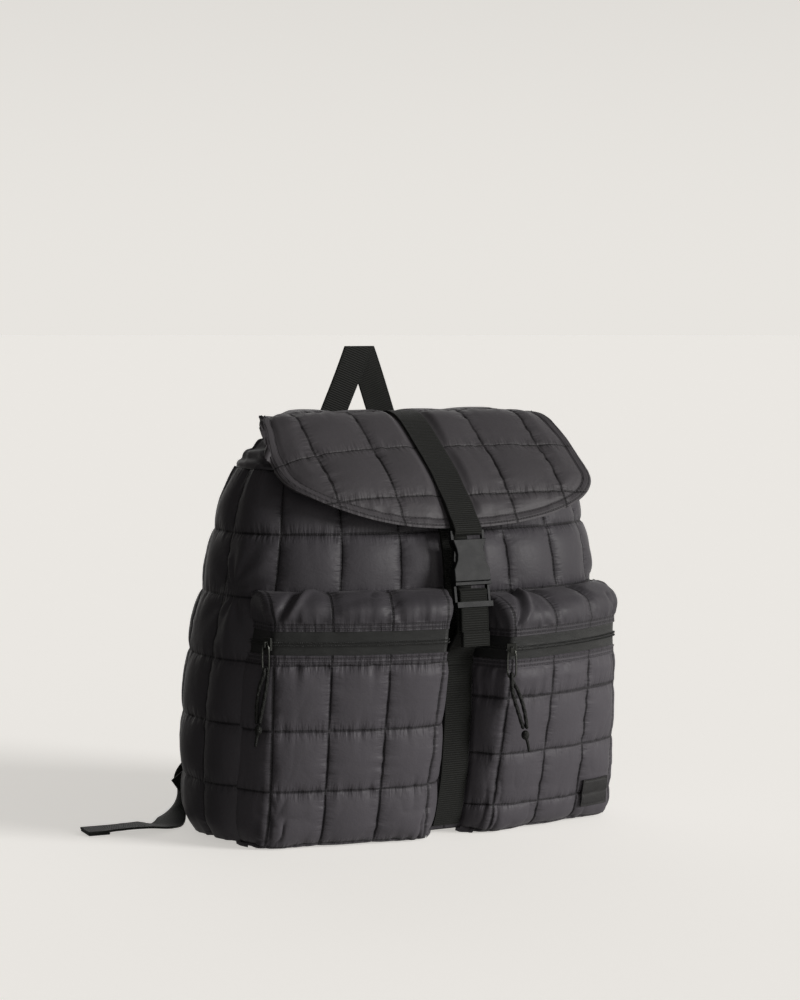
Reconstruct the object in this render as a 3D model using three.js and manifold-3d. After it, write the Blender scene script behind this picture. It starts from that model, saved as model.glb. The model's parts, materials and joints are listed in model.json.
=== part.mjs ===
// A quilted puffer backpack with a buckled lid and two zipped front pockets.
// Millimetres, +Z up, the front facing -Y, the origin on the floor under the middle of the base.
import * as THREE from 'three';
import { mergeVertices } from 'three/addons/utils/BufferGeometryUtils.js';
import Module from 'manifold-3d';

const wasm = await Module();
wasm.setup();

// Driving dimensions
const seamGap = 0.5; // between two sewn pieces
const hardGap = 0.35; // between hard pieces, and between webbing layers

const bag = {
  halfWidth: 187,
  frontDepth: 88,
  backDepth: 108,
  height: 326, // floor to the gathered rim
  collarHeight: 26, // from the seam under the gathered collar to its rim
  seamWall: 2.6, // stitched through, at a quilting line
  puff: 6, // how far a square swells past its stitching
  underEdge: 4.5, // height of the wrap's lower edge over the floor
};
const neckHeight = bag.height - bag.collarHeight;
const quilt = { columnsPerSide: 6, rows: 6, steps: 3 };
const backPanel = { columns: 4, rows: 4, puff: 4, wall: 5 };
const base = { thickness: 4, flatShare: 0.72, edgeRise: 2.2, sides: 32 };
const collar = { wall: 2.2, foldDepth: 4, folds: 3, columns: 22, frontDip: 15 };

const webbing = { width: 25, thickness: 1.7, sewnIn: 8 }; // sewnIn at either end of the centre strap
const lid = {
  halfWidth: 141,
  backLength: 102, // from the seam on the back panel to the crest
  frontLength: 138, // from the crest to the front edge
  straightLeft: 54, // of either side, in front of the crest; the lid lies a little askew
  straightRight: 84,
  crestBack: 8, // of the crest behind the middle of the base
  crestRise: 13.5, // of the underside over the collar's rim
  cornerPower: 2.2, // roundness of the front corners
  wall: 3.2,
  puff: 4.6,
  pressed: 0.63, // share of the puff that is left behind the grab handle
  border: 9, // flat stitched edge
  columnPitch: 52,
  rowPitch: 54,
  droopLeft: 13, // of either side edge in front
  droopRight: 2,
};
const lidCrest = bag.height + lid.crestRise;
const pocket = {
  wall: 2.4,
  puff: 5,
  frontColumns: 3,
  height: 206,
  bodyGap: 0.9,
  crown: 9, // bulge of the front between its two edges
  bury: 9, // of its open back into the body, before the body is cut out of it
};
const zip = {
  tape: 1.4,
  setBack: 0.8, // of the tape behind the pocket's stitched surface
  coilWidth: 5.4,
  coilHeight: 0.8,
  sliderLength: 10,
  sliderWidth: 8,
  sliderHeight: 2.4,
  bridge: 2.4,
};
const pull = { wire: 1.7, width: 7.5, length: 24, cord: 2.2, loopLength: 42, knot: 7.5, tailLength: 10 };
const patch = { width: 32, height: 22, thickness: 1.1, share: 1.81, middle: 26.5 };
const buckle = {
  width: 33,
  thickness: 8.5,
  socketLength: 34,
  barLength: 6.5, // from the strap bar's axis to the socket
  ladderLength: 20.5,
  bar: 3.2,
  side: 2.2,
  tilt: 0.19, // radians, the lower end further forward
  sewnBelow: 174, // from the collar's rim down to where its webbing is sewn to the centre strap
  tailBelow: 166, // and down to the free end
};
const handle = { rise: 72, footDrop: 40, sewnDrop: 16, halfFoot: 58, halfTop: 14.5, shift: 3, lean: 5 };
const pad = { topWidth: 52, endWidth: 40, thickness: 9, clear: 1.4, endClear: 8, bow: 9 };
const adjuster = { width: 31, length: 25, side: 2.6, bar: 3.4 };

// Sections of the body, as shares of its height and of its three half sizes.
const bodySections = [
  { height: 0.0, width: 0.945, front: 0.72, back: 0.84 },
  { height: 0.06, width: 0.995, front: 0.82, back: 0.92 },
  { height: 0.16, width: 1.0, front: 0.92, back: 0.98 },
  { height: 0.33, width: 0.99, front: 0.99, back: 1.0 },
  { height: 0.48, width: 0.955, front: 1.0, back: 0.98 },
  { height: 0.62, width: 0.905, front: 0.99, back: 0.935 },
  { height: 0.72, width: 0.872, front: 0.945, back: 0.875 },
  { height: 0.77, width: 0.855, front: 0.885, back: 0.835 },
  { height: 0.84, width: 0.825, front: 0.75, back: 0.78 },
  { height: 0.9, width: 0.785, front: 0.575, back: 0.735 },
  { height: 0.95, width: 0.735, front: 0.42, back: 0.68 },
  { height: 0.975, width: 0.685, front: 0.34, back: 0.63 },
  { height: 1.0, width: 0.595, front: 0.27, back: 0.57 },
];
const frontPower = 2.4; // plan shape in front of the widest point
const backPower = 3.1; // squarer behind it
const seamAngle = 2.42; // radians from the front, where wrap and back panel meet

// Front edges of a pocket, in plan, for its rows from the floor up. Inner is the edge beside the
// centre strap. Offsets are shares of the pocket's spread and of the bag's front depth; reach is
// the share of the pocket's depth, which closes to the body under and over it.
const pocketSpread = 132; // between the two front edges
const pocketInnerX = 29;
const pocketOuterReach = 0.94; // of the body's half width, where its outer side meets the body
const pocketRows = [
  { left: 0.022, right: 0.022, reach: 0.12, inner: 0.93, outer: 0.63, bulge: 0 },
  { left: 0.011, right: 0.011, reach: 0.45, inner: 0.93, outer: 0.63, bulge: 0 },
  { left: 0.006, right: 0.006, reach: 0.8, inner: 0.93, outer: 0.64, bulge: 0.2 },
  { left: 0.017, right: 0.017, reach: 0.97, inner: 0.95, outer: 0.66, bulge: 0.5 },
  { left: 0.078, right: 0.063, reach: 1, inner: 1.0, outer: 0.71, bulge: 0.8 },
  { left: 0.16, right: 0.121, reach: 1, inner: 1.05, outer: 0.745, bulge: 1 },
  { left: 0.233, right: 0.194, reach: 1, inner: 1.09, outer: 0.765, bulge: 0.9 },
  { left: 0.311, right: 0.262, reach: 1, inner: 1.135, outer: 0.785, bulge: 1.05 },
  { left: 0.393, right: 0.335, reach: 1, inner: 1.18, outer: 0.8, bulge: 1.1 },
  { left: 0.471, right: 0.408, reach: 1, inner: 1.225, outer: 0.81, bulge: 0.95 },
  { left: 0.553, right: 0.485, reach: 1, inner: 1.27, outer: 0.82, bulge: 1.1 },
  { left: 0.631, right: 0.563, reach: 1, inner: 1.32, outer: 0.83, bulge: 1.1 },
  { left: 0.709, right: 0.641, reach: 1, inner: 1.37, outer: 0.84, bulge: 1 },
  { left: 0.762, right: 0.714, reach: 1, inner: 1.4, outer: 0.85, bulge: 1 },
];
const pocketTopRows = [
  { left: 0.859, right: 0.811, reach: 1, inner: 1.45, outer: 0.86, bulge: 1 },
  { left: 0.908, right: 0.864, reach: 0.99, inner: 1.46, outer: 0.86, bulge: 1 },
  { left: 0.951, right: 0.913, reach: 0.9, inner: 1.46, outer: 0.86, bulge: 0.9 },
  { left: 0.981, right: 0.947, reach: 0.66, inner: 1.44, outer: 0.86, bulge: 0.6 },
  { left: 0.995, right: 0.964, reach: 0.34, inner: 1.4, outer: 0.86, bulge: 0.3 },
  { left: 1., right: 0.968, reach: 0.1, inner: 1.4, outer: 0.86, bulge: 0 },
];

// Slope of the lid's middle, in degrees down from level, along the cloth to either side of the crest.
// Along is a share of the back length, counted backwards, or of the front length.
const lidBackSlopes = [
  { along: 0, slope: 2 },
  { along: 0.3, slope: 4 },
  { along: 0.55, slope: 9 },
  { along: 0.68, slope: 24 },
  { along: 0.8, slope: 62 },
  { along: 0.9, slope: 86 },
  { along: 1, slope: 92 },
];
const lidFrontSlopes = [
  { along: 0, slope: 3, droop: 0 },
  { along: 0.06, slope: 14, droop: 0.1 },
  { along: 0.16, slope: 34, droop: 0.5 },
  { along: 0.28, slope: 38, droop: 1 },
  { along: 0.5, slope: 38, droop: 1 },
  { along: 0.62, slope: 42, droop: 0.8 },
  { along: 0.73, slope: 51, droop: 0.45 },
  { along: 0.88, slope: 52, droop: 0.1 },
  { along: 1, slope: 55, droop: 0 },
];

// Half width of the lid behind its round front, as a share of its greatest. Along is a share of the back
// length behind the crest.
const lidSides = [
  { along: -1, width: 0.57 },
  { along: -0.3, width: 0.76 },
  { along: -0.06, width: 0.87 },
  { along: 0.09, width: 0.955 },
  { along: 0.4, width: 1 },
];

// Middle line of a shoulder pad down the back, as shares of the bag's half width and height.
const padLine = [
  { down: 0, side: 0.21, height: 0.845 },
  { down: 0.25, side: 0.27, height: 0.7 },
  { down: 0.5, side: 0.345, height: 0.56 },
  { down: 0.75, side: 0.43, height: 0.41 },
  { down: 1, side: 0.53, height: 0.27 },
];

// The way of the left tail down to the floor and along it: side as a share of the bag's half width,
// behind of its depth behind, and rise of its height.
const leftTailWay = [
  { side: 0.74866, behind: 1.12037, rise: 0.110429, faces: 'away' },
  { side: 0.82353, behind: 1.07870, rise: 0.058282, faces: 'turning' },
  { side: 0.89840, behind: 0.93519, rise: 0.024540, faces: 'settling' },
  { side: 0.96791, behind: 0.72222, rise: 0.007975, faces: 'up' },
  { side: 1.03743, behind: 0.60185, rise: 0.007362, faces: 'up' },
  { side: 1.13904, behind: 0.56481, rise: 0.016871, faces: 'up' },
  { side: 1.22460, behind: 0.62037, rise: 0.013497, faces: 'up' },
  { side: 1.28877, behind: 0.66667, rise: 0.007362, faces: 'up' },
  { side: 1.29037, behind: 0.66667, rise: 0.007362, faces: 'up' },
  { side: 1.38503, behind: 0.68519, rise: 0.006135, faces: 'up' },
];

const colours = {
  shell: 0x2f2d30,
  dark: 0x232124,
  webbing: 0x1f211c,
  tape: 0x282b28,
  plastic: 0x2c3032,
  metal: 0x33352f,
  cord: 0x2b2c27,
};
const cloth = (color) => new THREE.MeshStandardMaterial({ color, roughness: 0.62, metalness: 0 });
const materials = {
  shell: cloth(colours.shell),
  lining: cloth(colours.dark),
  webbing: new THREE.MeshStandardMaterial({ color: colours.webbing, roughness: 0.85, metalness: 0 }),
  tape: new THREE.MeshStandardMaterial({ color: colours.tape, roughness: 0.8, metalness: 0 }),
  plastic: new THREE.MeshStandardMaterial({ color: colours.plastic, roughness: 0.35, metalness: 0 }),
  metal: new THREE.MeshStandardMaterial({ color: colours.metal, roughness: 0.3, metalness: 0.9 }),
  cord: new THREE.MeshStandardMaterial({ color: colours.cord, roughness: 0.8, metalness: 0 }),
};

const backpack = new THREE.Group();

function addPiece(name, geometry, material, parent = backpack) {
  const mesh = new THREE.Mesh(geometry, material);
  mesh.name = name;
  parent.add(mesh);
  return mesh;
}

const X = new THREE.Vector3(1, 0, 0);
const vec = (x, y, z) => new THREE.Vector3(x, y, z);
const steps = (from, to, count) => {
  const whole = Math.round(count);
  return Array.from({ length: whole + 1 }, (_, i) => from + ((to - from) * i) / whole);
};
const signedPower = (value, power) => Math.sign(value) * Math.abs(value) ** power;

// Reads a table of named columns at a value of its first column, straight between the rows.
function readTable(table, key, value) {
  const last = table.length - 1;
  let i = 0;
  while (i < last - 1 && value > table[i + 1][key]) i += 1;
  const share = THREE.MathUtils.clamp((value - table[i][key]) / (table[i + 1][key] - table[i][key]), 0, 1);
  const row = {};
  for (const name of Object.keys(table[0])) row[name] = THREE.MathUtils.lerp(table[i][name], table[i + 1][name], share);
  return row;
}

// Closed geometry from points and triangles.
function geometryOf(points, triangles) {
  const flat = new Float32Array(points.flatMap((p) => [p.x, p.y, p.z]));
  return new THREE.BufferGeometry().setAttribute('position', new THREE.BufferAttribute(flat, 3)).setIndex(triangles);
}

// A place on surface(u, v), moved out along the surface's normal.
function lifted(surface, u, v, lift) {
  const step = 1e-3;
  const across = surface(u + step, v).sub(surface(u - step, v));
  const upward = surface(u, v + step).sub(surface(u, v - step));
  return surface(u, v).addScaledVector(across.cross(upward).normalize(), lift);
}

const every = (count, pace) => Array.from({ length: count }, (_, i) => i).filter((i) => i % pace === 0);

// A padded sheet: surface(u, v) is its stitched face, out of which puff(u, v) swells. Its lining lies
// wall(u, v) behind that and keeps only some columns and rows of it. The sheet is closed round in u when
// closed is set, and its rims are closed always.
function paddedSheet({ us, vs, surface, wall, puff = () => 0, closed = false, lineUs, lineVs }) {
  const keptUs = lineUs ?? every(us.length, 1);
  const keptVs = lineVs ?? every(vs.length, 1);
  const points = vs.flatMap((v) => us.map((u) => lifted(surface, u, v, puff(u, v))));
  const size = points.length;
  points.push(...keptVs.flatMap((j) => keptUs.map((i) => lifted(surface, us[i], vs[j], -wall(us[i], vs[j])))));
  const triangles = [];
  const quad = (a, b, c, d) => triangles.push(a, b, c, a, c, d);
  const outer = (i, j) => j * us.length + (i % us.length);
  const inner = (i, j) => size + j * keptUs.length + (i % keptUs.length);
  const spans = (list) => list.length - (closed ? 0 : 1);
  for (let j = 0; j < vs.length - 1; j += 1) {
    for (let i = 0; i < spans(us); i += 1) quad(outer(i, j), outer(i + 1, j), outer(i + 1, j + 1), outer(i, j + 1));
  }
  for (let j = 0; j < keptVs.length - 1; j += 1) {
    for (let i = 0; i < spans(keptUs); i += 1) quad(inner(i, j + 1), inner(i + 1, j + 1), inner(i + 1, j), inner(i, j));
  }
  // A rim joins a line of the face to the lining's line, which keeps only some of its places.
  const rim = (kept, fine, coarse, forward) => {
    const add = (a, b, c) => (forward ? triangles.push(a, b, c) : triangles.push(a, c, b));
    for (let k = 0; k < kept.length - 1; k += 1) {
      for (let i = kept[k]; i < kept[k + 1]; i += 1) add(coarse(k), fine(i), fine(i + 1));
      add(coarse(k), fine(kept[k + 1]), coarse(k + 1));
    }
  };
  const [lastU, lastV] = [us.length - 1, vs.length - 1];
  const [lastKeptU, lastKeptV] = [keptUs.length - 1, keptVs.length - 1];
  const round = closed ? [...keptUs, us.length] : keptUs;
  rim(round, (i) => outer(i, 0), (k) => inner(k, 0), false);
  rim(round, (i) => outer(i, lastV), (k) => inner(k, lastKeptV), true);
  if (!closed) {
    rim(keptVs, (j) => outer(0, j), (k) => inner(0, k), true);
    rim(keptVs, (j) => outer(lastU, j), (k) => inner(lastKeptU, k), false);
  }
  return facingOut(geometryOf(points, triangles));
}

// A closed body through rings that hold the same count of points each, with flat ends.
function lofted(rings) {
  const n = rings[0].length;
  const last = (rings.length - 1) * n;
  const points = rings.flat();
  const triangles = [];
  for (let j = 0; j < last; j += n) {
    for (let i = 0; i < n; i += 1) {
      const next = (i + 1) % n;
      triangles.push(j + i, j + next, j + n + next, j + i, j + n + next, j + n + i);
    }
  }
  if (n < 9) {
    for (let i = 1; i < n - 1; i += 1) triangles.push(0, i + 1, i, last, last + i, last + i + 1);
  } else {
    const middle = (ring) => ring.reduce((sum, p) => sum.add(p), vec(0, 0, 0)).divideScalar(n);
    const hub = points.length;
    points.push(middle(rings[0]), middle(rings.at(-1)));
    for (let i = 0; i < n; i += 1) {
      const next = (i + 1) % n;
      triangles.push(hub, next, i, hub + 1, last + i, last + next);
    }
  }
  return facingOut(geometryOf(points, triangles));
}

// A body along stations, each with a place, a direction across and one out of its face. section(v)
// gives its outline at a share of the way, as pairs of lengths across and out.
function sweep(stations, section) {
  return lofted(
    stations.map(({ at, across, out }, j) =>
      section(j / (stations.length - 1)).map(([i, k]) => at.clone().addScaledVector(across, i).addScaledVector(out, k)),
    ),
  );
}

function band(stations, width, thickness) {
  return sweep(stations, (v) => {
    const i = width / 2;
    const k = (typeof thickness === 'function' ? thickness(v) : thickness) / 2;
    return [[-i, k], [i, k], [i, -k], [-i, -k]];
  });
}

// Stations along places in space; each place names the way that its face looks.
function facedStations(places) {
  return places.map(({ at, faces }, i) => {
    const before = places[Math.max(i - 1, 0)].at;
    const after = places[Math.min(i + 1, places.length - 1)].at;
    const along = after.clone().sub(before).normalize();
    const out = faces.clone().addScaledVector(along, -faces.dot(along)).normalize();
    return { at, across: out.clone().cross(along), out };
  });
}

// Stations of a band that stays square to the X axis, along points in the YZ plane.
function uprightStations(points, x = 0) {
  return points.map(([y, z], i) => {
    const before = points[Math.max(i - 1, 0)];
    const after = points[Math.min(i + 1, points.length - 1)];
    const along = vec(0, after[0] - before[0], after[1] - before[1]).normalize();
    return { at: vec(x, y, z), across: X.clone(), out: vec(0, -along.z, along.y) };
  });
}

function volumeOf(geometry) {
  const place = geometry.getAttribute('position');
  const index = geometry.index.array;
  const [a, b, c] = [vec(0, 0, 0), vec(0, 0, 0), vec(0, 0, 0)];
  let six = 0;
  for (let i = 0; i < index.length; i += 3) {
    a.fromBufferAttribute(place, index[i]);
    b.fromBufferAttribute(place, index[i + 1]);
    c.fromBufferAttribute(place, index[i + 2]);
    six += a.dot(b.cross(c));
  }
  return six / 6;
}

// Turns a closed geometry's faces round if they point inwards.
function facingOut(geometry) {
  if (volumeOf(geometry) < 0) {
    const index = geometry.index.array;
    for (let i = 0; i < index.length; i += 3) [index[i + 1], index[i + 2]] = [index[i + 2], index[i + 1]];
  }
  return geometry;
}

function solidOf(geometry) {
  const merged = bare(geometry);
  return new wasm.Manifold(
    new wasm.Mesh({
      numProp: 3,
      vertProperties: merged.getAttribute('position').array,
      triVerts: new Uint32Array(merged.index.array),
    }),
  );
}

function geometryFrom(solid) {
  const mesh = solid.getMesh();
  return new THREE.BufferGeometry()
    .setAttribute('position', new THREE.BufferAttribute(new Float32Array(mesh.vertProperties), 3))
    .setIndex([...mesh.triVerts]);
}

const bare = (geometry) => {
  const copy = geometry.clone();
  copy.deleteAttribute('normal');
  copy.deleteAttribute('uv');
  return mergeVertices(copy, 1e-4);
};
const boxAt = (sizeX, sizeY, sizeZ, x, y, z) => new THREE.BoxGeometry(sizeX, sizeY, sizeZ).translate(x, y, z);
const rodAlongX = (radius, length, x, y, z) =>
  new THREE.CylinderGeometry(radius, radius, length, 10).rotateZ(Math.PI / 2).translate(x, y, z);
const joined = (...geometries) => geometryFrom(geometries.map(solidOf).reduce((a, b) => a.add(b)));
const cut = (geometry, ...tools) => geometryFrom(tools.map(solidOf).reduce((a, b) => a.subtract(b), solidOf(geometry)));
const common = (a, b) => geometryFrom(solidOf(a).intersect(solidOf(b)));

// A round cord through points in space, open with flat ends, or closed into a ring.
function cord(points, radius, count, closed = false) {
  const path = new THREE.CatmullRomCurve3(points, closed);
  if (closed) return facingOut(bare(new THREE.TubeGeometry(path, count, radius, 6, true)));
  const { normals, binormals } = path.computeFrenetFrames(count);
  const turns = steps(0, 2 * Math.PI, 6).slice(0, -1);
  return lofted(
    steps(0, 1, count).map((v, i) =>
      turns.map((turn) =>
        path.getPointAt(v)
          .addScaledVector(normals[i], radius * Math.cos(turn))
          .addScaledVector(binormals[i], radius * Math.sin(turn)),
      ),
    ),
  );
}

// Sets a piece, made with its length down -Y, its width along X and its face towards +Z, at a place.
function setAt(geometry, at, down, out) {
  const up = down.clone().negate();
  return geometry.applyMatrix4(new THREE.Matrix4().makeBasis(up.clone().cross(out), up, out).setPosition(at));
}

// The body

const bodySize = (height) => {
  const row = readTable(bodySections, 'height', height / bag.height);
  return { a: row.width * bag.halfWidth, front: row.front * bag.frontDepth, back: row.back * bag.backDepth };
};

// A place on the body's stitched surface, by its angle round from the front and its height.
function bodyPoint(angle, height) {
  const { a, front, back } = bodySize(height);
  const forward = Math.cos(angle);
  const power = 2 / (forward > 0 ? frontPower : backPower);
  const x = a * signedPower(Math.sin(angle), power);
  const y = forward > 0 ? -front * forward ** power : back * (-forward) ** power;
  return vec(x, y, height);
}

// The front surface over a given x.
function bodyFront(x, height) {
  const { a, front } = bodySize(height);
  return -front * (1 - Math.min(Math.abs(x) / a, 1) ** frontPower) ** (1 / frontPower);
}

// Angles that space the wrap's columns evenly round the widest section.
const evenAngles = (() => {
  const fine = steps(0, seamAngle, 400);
  const reference = bag.height / 3;
  const lengths = [0];
  for (let i = 1; i < fine.length; i += 1) {
    lengths.push(lengths[i - 1] + bodyPoint(fine[i], reference).distanceTo(bodyPoint(fine[i - 1], reference)));
  }
  const total = lengths.at(-1);
  return (share) => {
    const wanted = Math.min(Math.abs(share), 1) * total;
    let i = 1;
    while (i < lengths.length - 1 && lengths[i] < wanted) i += 1;
    const part = (wanted - lengths[i - 1]) / (lengths[i] - lengths[i - 1]);
    return Math.sign(share) * THREE.MathUtils.lerp(fine[i - 1], fine[i], part);
  };
})();

const onLine = (value, pitch) => Math.abs(value / pitch - Math.round(value / pitch)) < 0.02;
const rowPitch = neckHeight / quilt.rows;
const columnShare = 1 / quilt.columnsPerSide;
const pocketCover = 207; // height up to which a pocket lies on the body
const coverShare = 3 * columnShare;

// A square swells between its stitching lines; what a pocket or the centre strap covers lies flat.
function bodyPuff(share, height) {
  const underPocket = height < pocketCover && Math.abs(share) < coverShare + 1e-3;
  const underStrap = Math.abs(share) < columnShare / 2;
  if (underPocket || underStrap || onLine(share, columnShare) || onLine(height, rowPitch)) return 0;
  return bag.puff * (height < rowPitch / 2 ? 0.6 : 1);
}
const bodySkin = (u, v) => bodyPoint(evenAngles(u), v);
const wrapShares = steps(-1, 1, 2 * quilt.columnsPerSide * quilt.steps);
const wrapHeights = steps(0, neckHeight, quilt.rows * quilt.steps);
wrapHeights[0] = bag.underEdge;
const panelHalf = Math.PI - seamAngle;
const panelSkin = (u, v) => bodyPoint(Math.PI + u, v);

function buildBody() {
  const seamShare = 1 - seamGap / 330;
  addPiece(
    'body_wrap',
    paddedSheet({
      us: wrapShares.map((u) => THREE.MathUtils.clamp(u, -seamShare, seamShare)),
      vs: wrapHeights,
      surface: bodySkin,
      wall: () => bag.seamWall,
      puff: bodyPuff,
      lineVs: every(wrapHeights.length, quilt.steps),
    }),
    materials.shell,
  );
  const edge = panelHalf * 0.985;
  addPiece(
    'back_panel',
    paddedSheet({
      us: steps(-edge, edge, backPanel.columns * 2),
      vs: steps(bag.underEdge, neckHeight, backPanel.rows * 2),
      surface: panelSkin,
      wall: () => backPanel.wall,
      puff: (u) => (Math.abs(u) > edge * 0.99 ? 0 : backPanel.puff * Math.cos((u / edge) * 1.45)),
    }),
    materials.lining,
  );
}

// The wrap's outside as a solid, swollen by a clearance, to cut out of what is sewn on it.
function bodyBlank(clear) {
  const back = steps(-panelHalf, panelHalf, 8).slice(1, -1);
  const ring = (height) => [
    ...wrapShares.map((u) => lifted(bodySkin, u, height, bodyPuff(u, height) + clear)),
    ...back.map((u) => lifted(panelSkin, u, height, backPanel.puff)),
  ];
  const foot = ring(bag.underEdge).map((place) => place.setZ(-20));
  return lofted([foot, ...wrapHeights.map(ring)]);
}

// The base is a shallow dish: flat where the bag stands, rising a little to its seam.
function buildBase() {
  const turns = steps(0, 2 * Math.PI, base.sides).slice(0, -1);
  const inset = bag.seamWall + seamGap + 1.5;
  const ring = (share, height) =>
    turns.map((turn) => {
      const place = bodyPoint(turn, 0);
      const length = Math.hypot(place.x, place.y);
      return place.multiplyScalar(((length - inset) / length) * share).setZ(height);
    });
  const { flatShare, edgeRise, thickness } = base;
  const rings = [ring(flatShare, 0), ring(1, edgeRise), ring(1, edgeRise + thickness), ring(flatShare, thickness)];
  addPiece('base_panel', lofted(rings), materials.lining);
}

// The collar over the neck seam lies in small level folds, pushed down in front by the lid.
function buildCollar() {
  const from = neckHeight + hardGap;
  const rim = (turn) => bag.height - collar.frontDip * Math.max(Math.cos(turn), 0) ** 0.7;
  addPiece(
    'neck_collar',
    paddedSheet({
      us: steps(-Math.PI, Math.PI, collar.columns * 2).slice(0, -1),
      vs: steps(0, collar.folds, collar.folds * 2),
      surface: (u, v) => bodyPoint(u, from + ((rim(u) - from) * v) / collar.folds),
      wall: () => collar.wall,
      puff: (u, v) => {
        const gather = Math.round((u / (2 * Math.PI)) * collar.columns * 2) % 2 ? 0.7 : 1;
        return gather * (onLine(v, 1) ? 0.4 : collar.foldDepth * Math.min(1, (rim(u) - from) / (bag.height - from)));
      },
      lineUs: every(collar.columns * 2, 2),
      lineVs: every(collar.folds * 2 + 1, 2),
      closed: true,
    }),
    materials.shell,
  );
}

// The lid

// The lid's middle line, walked out from the crest in short steps along the table's slopes.
function walkSlopes(table, length, forward) {
  const pace = 2;
  const stops = [{ reach: 0, y: lid.crestBack, z: lidCrest, slope: 0, droop: 0 }];
  for (let reach = pace; reach <= length + lid.rowPitch; reach += pace) {
    const row = readTable(table, 'along', reach / length);
    const slope = THREE.MathUtils.degToRad(row.slope);
    const last = stops.at(-1);
    const y = last.y + (forward ? -1 : 1) * Math.cos(slope) * pace;
    stops.push({ reach, y, z: last.z - Math.sin(slope) * pace, slope, droop: row.droop ?? 0 });
  }
  return stops;
}
const lidBackStops = walkSlopes(lidBackSlopes, lid.backLength, false);
const lidFrontStops = walkSlopes(lidFrontSlopes, lid.frontLength, true);

// Half width of the lid on one side (-1 left, 1 right) at a distance in front of the crest.
function lidSide(distance, side) {
  const straight = side < 0 ? lid.straightLeft : lid.straightRight;
  const share = THREE.MathUtils.clamp((distance - straight) / (lid.frontLength - straight), 0, 1);
  const round = (1 - share ** lid.cornerPower) ** (1 / lid.cornerPower);
  return lid.halfWidth * readTable(lidSides, 'along', distance / lid.backLength).width * round;
}

// Where a point of the flat lid comes to lie: x across, distance in front of the crest, lift off its underside.
function lidPlace(x, distance, lift) {
  const { y, z, slope, droop } = readTable(distance < 0 ? lidBackStops : lidFrontStops, 'reach', Math.abs(distance));
  const forward = distance < 0 ? 1 : -1;
  const drop = droop * (x < 0 ? lid.droopLeft : lid.droopRight) * (Math.abs(x) / lid.halfWidth) ** 3;
  return vec(x, y + forward * Math.sin(slope) * lift, z + Math.cos(slope) * lift - drop);
}

function buildLid() {
  const { border, columnPitch, rowPitch, frontLength, backLength } = lid;
  const nearEdge = (x, d) => lidSide(d, x) - Math.abs(x) < border || lidSide(d + border, x) < Math.abs(x);
  const puff = (x, d) => {
    const onStitch = onLine(x, columnPitch) || onLine(d, rowPitch);
    const underStrap = Math.abs(x) < webbing.width * 0.62;
    const underHandle = d < -rowPitch;
    return onStitch || underStrap || underHandle || nearEdge(x, d) ? 0 : lid.puff;
  };
  const strapLines = [-0.6, 0.6].map((k) => k * webbing.width);
  const columns = [...steps(-3, 3, 6 * quilt.steps).map((k) => k * columnPitch), ...strapLines].sort((a, b) => a - b);
  const sheet = paddedSheet({
    us: columns,
    vs: steps(-3, 3, 6 * quilt.steps).map((k) => k * rowPitch),
    surface: (u, v) => lidPlace(-u, v, lid.wall),
    wall: () => lid.wall,
    puff: (u, v) => puff(-u, v),
    lineUs: every(columns.length, 1).filter((i) => onLine(columns[i], columnPitch)),
  });
  const rounded = steps(0, 1, 12).map((t) => Math.sin((t * Math.PI) / 2));
  const distances = [
    ...lidSides.map(({ along }) => along * backLength).filter((d) => d < lid.straightLeft),
    ...rounded.map((t) => THREE.MathUtils.lerp(lid.straightLeft, frontLength - 0.05, t)),
  ];
  const fine = distances.flatMap((d, i) => (i ? [(d + distances[i - 1]) / 2, d] : [d]));
  const outline = paddedSheet({
    us: [-1, -0.6, -0.2, 0.2, 0.6, 1],
    vs: fine,
    surface: (u, v) => lidPlace(-u * lidSide(v, -u), v, 0),
    wall: () => 10,
    puff: () => 16,
  });
  addPiece('lid', common(sheet, outline), materials.shell);
}

// Straps and buckle at the front

// The buckle hangs from the lid strap's loop. Its own places are counted down its length and out of its face.
const buckleAt = lidPlace(0, lid.frontLength + 4.5, lid.wall + 1.5);
const buckleDown = vec(0, -Math.sin(buckle.tilt), -Math.cos(buckle.tilt));
const buckleOut = vec(0, -Math.cos(buckle.tilt), Math.sin(buckle.tilt));
const onBuckle = (down, out) => {
  const place = buckleAt.clone().addScaledVector(buckleDown, down).addScaledVector(buckleOut, out);
  return [place.y, place.z];
};
const onBuckleFace = (geometry) => setAt(geometry, buckleAt, buckleDown, buckleOut);
const turnRadius = buckle.bar / 2 + hardGap + webbing.thickness / 2;

const middleOfLid = (distance, lift) => {
  const { y, z } = lidPlace(0, distance, lift);
  return [y, z];
};

// The lid strap lies on the lid, turns round the buckle's bar and ends between itself and the lid.
function buildLidStrap() {
  const single = lid.wall + hardGap + 0.4 + webbing.thickness / 2;
  const double = single + webbing.thickness + hardGap;
  const end = lid.frontLength;
  const tuck = 28; // length that lies double
  const onLid = steps(-5, 5, 10).map((k) => middleOfLid((k * lid.rowPitch) / quilt.steps, single));
  const over = [
    middleOfLid(end - tuck, double),
    middleOfLid(end - 18, double),
    middleOfLid(end - 9, double),
    middleOfLid(end - 2, double + 0.9),
  ];
  const round = steps(0.42, -2.72, 8).map((turn) => onBuckle(-turnRadius * Math.sin(turn), turnRadius * Math.cos(turn)));
  const under = [1.5, 8, 16, tuck - 3].map((d) => middleOfLid(end - d, single));
  const stations = uprightStations([...onLid, ...over, ...round, ...under]);
  addPiece('lid_strap', band(stations, webbing.width, webbing.thickness), materials.webbing);
}

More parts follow.
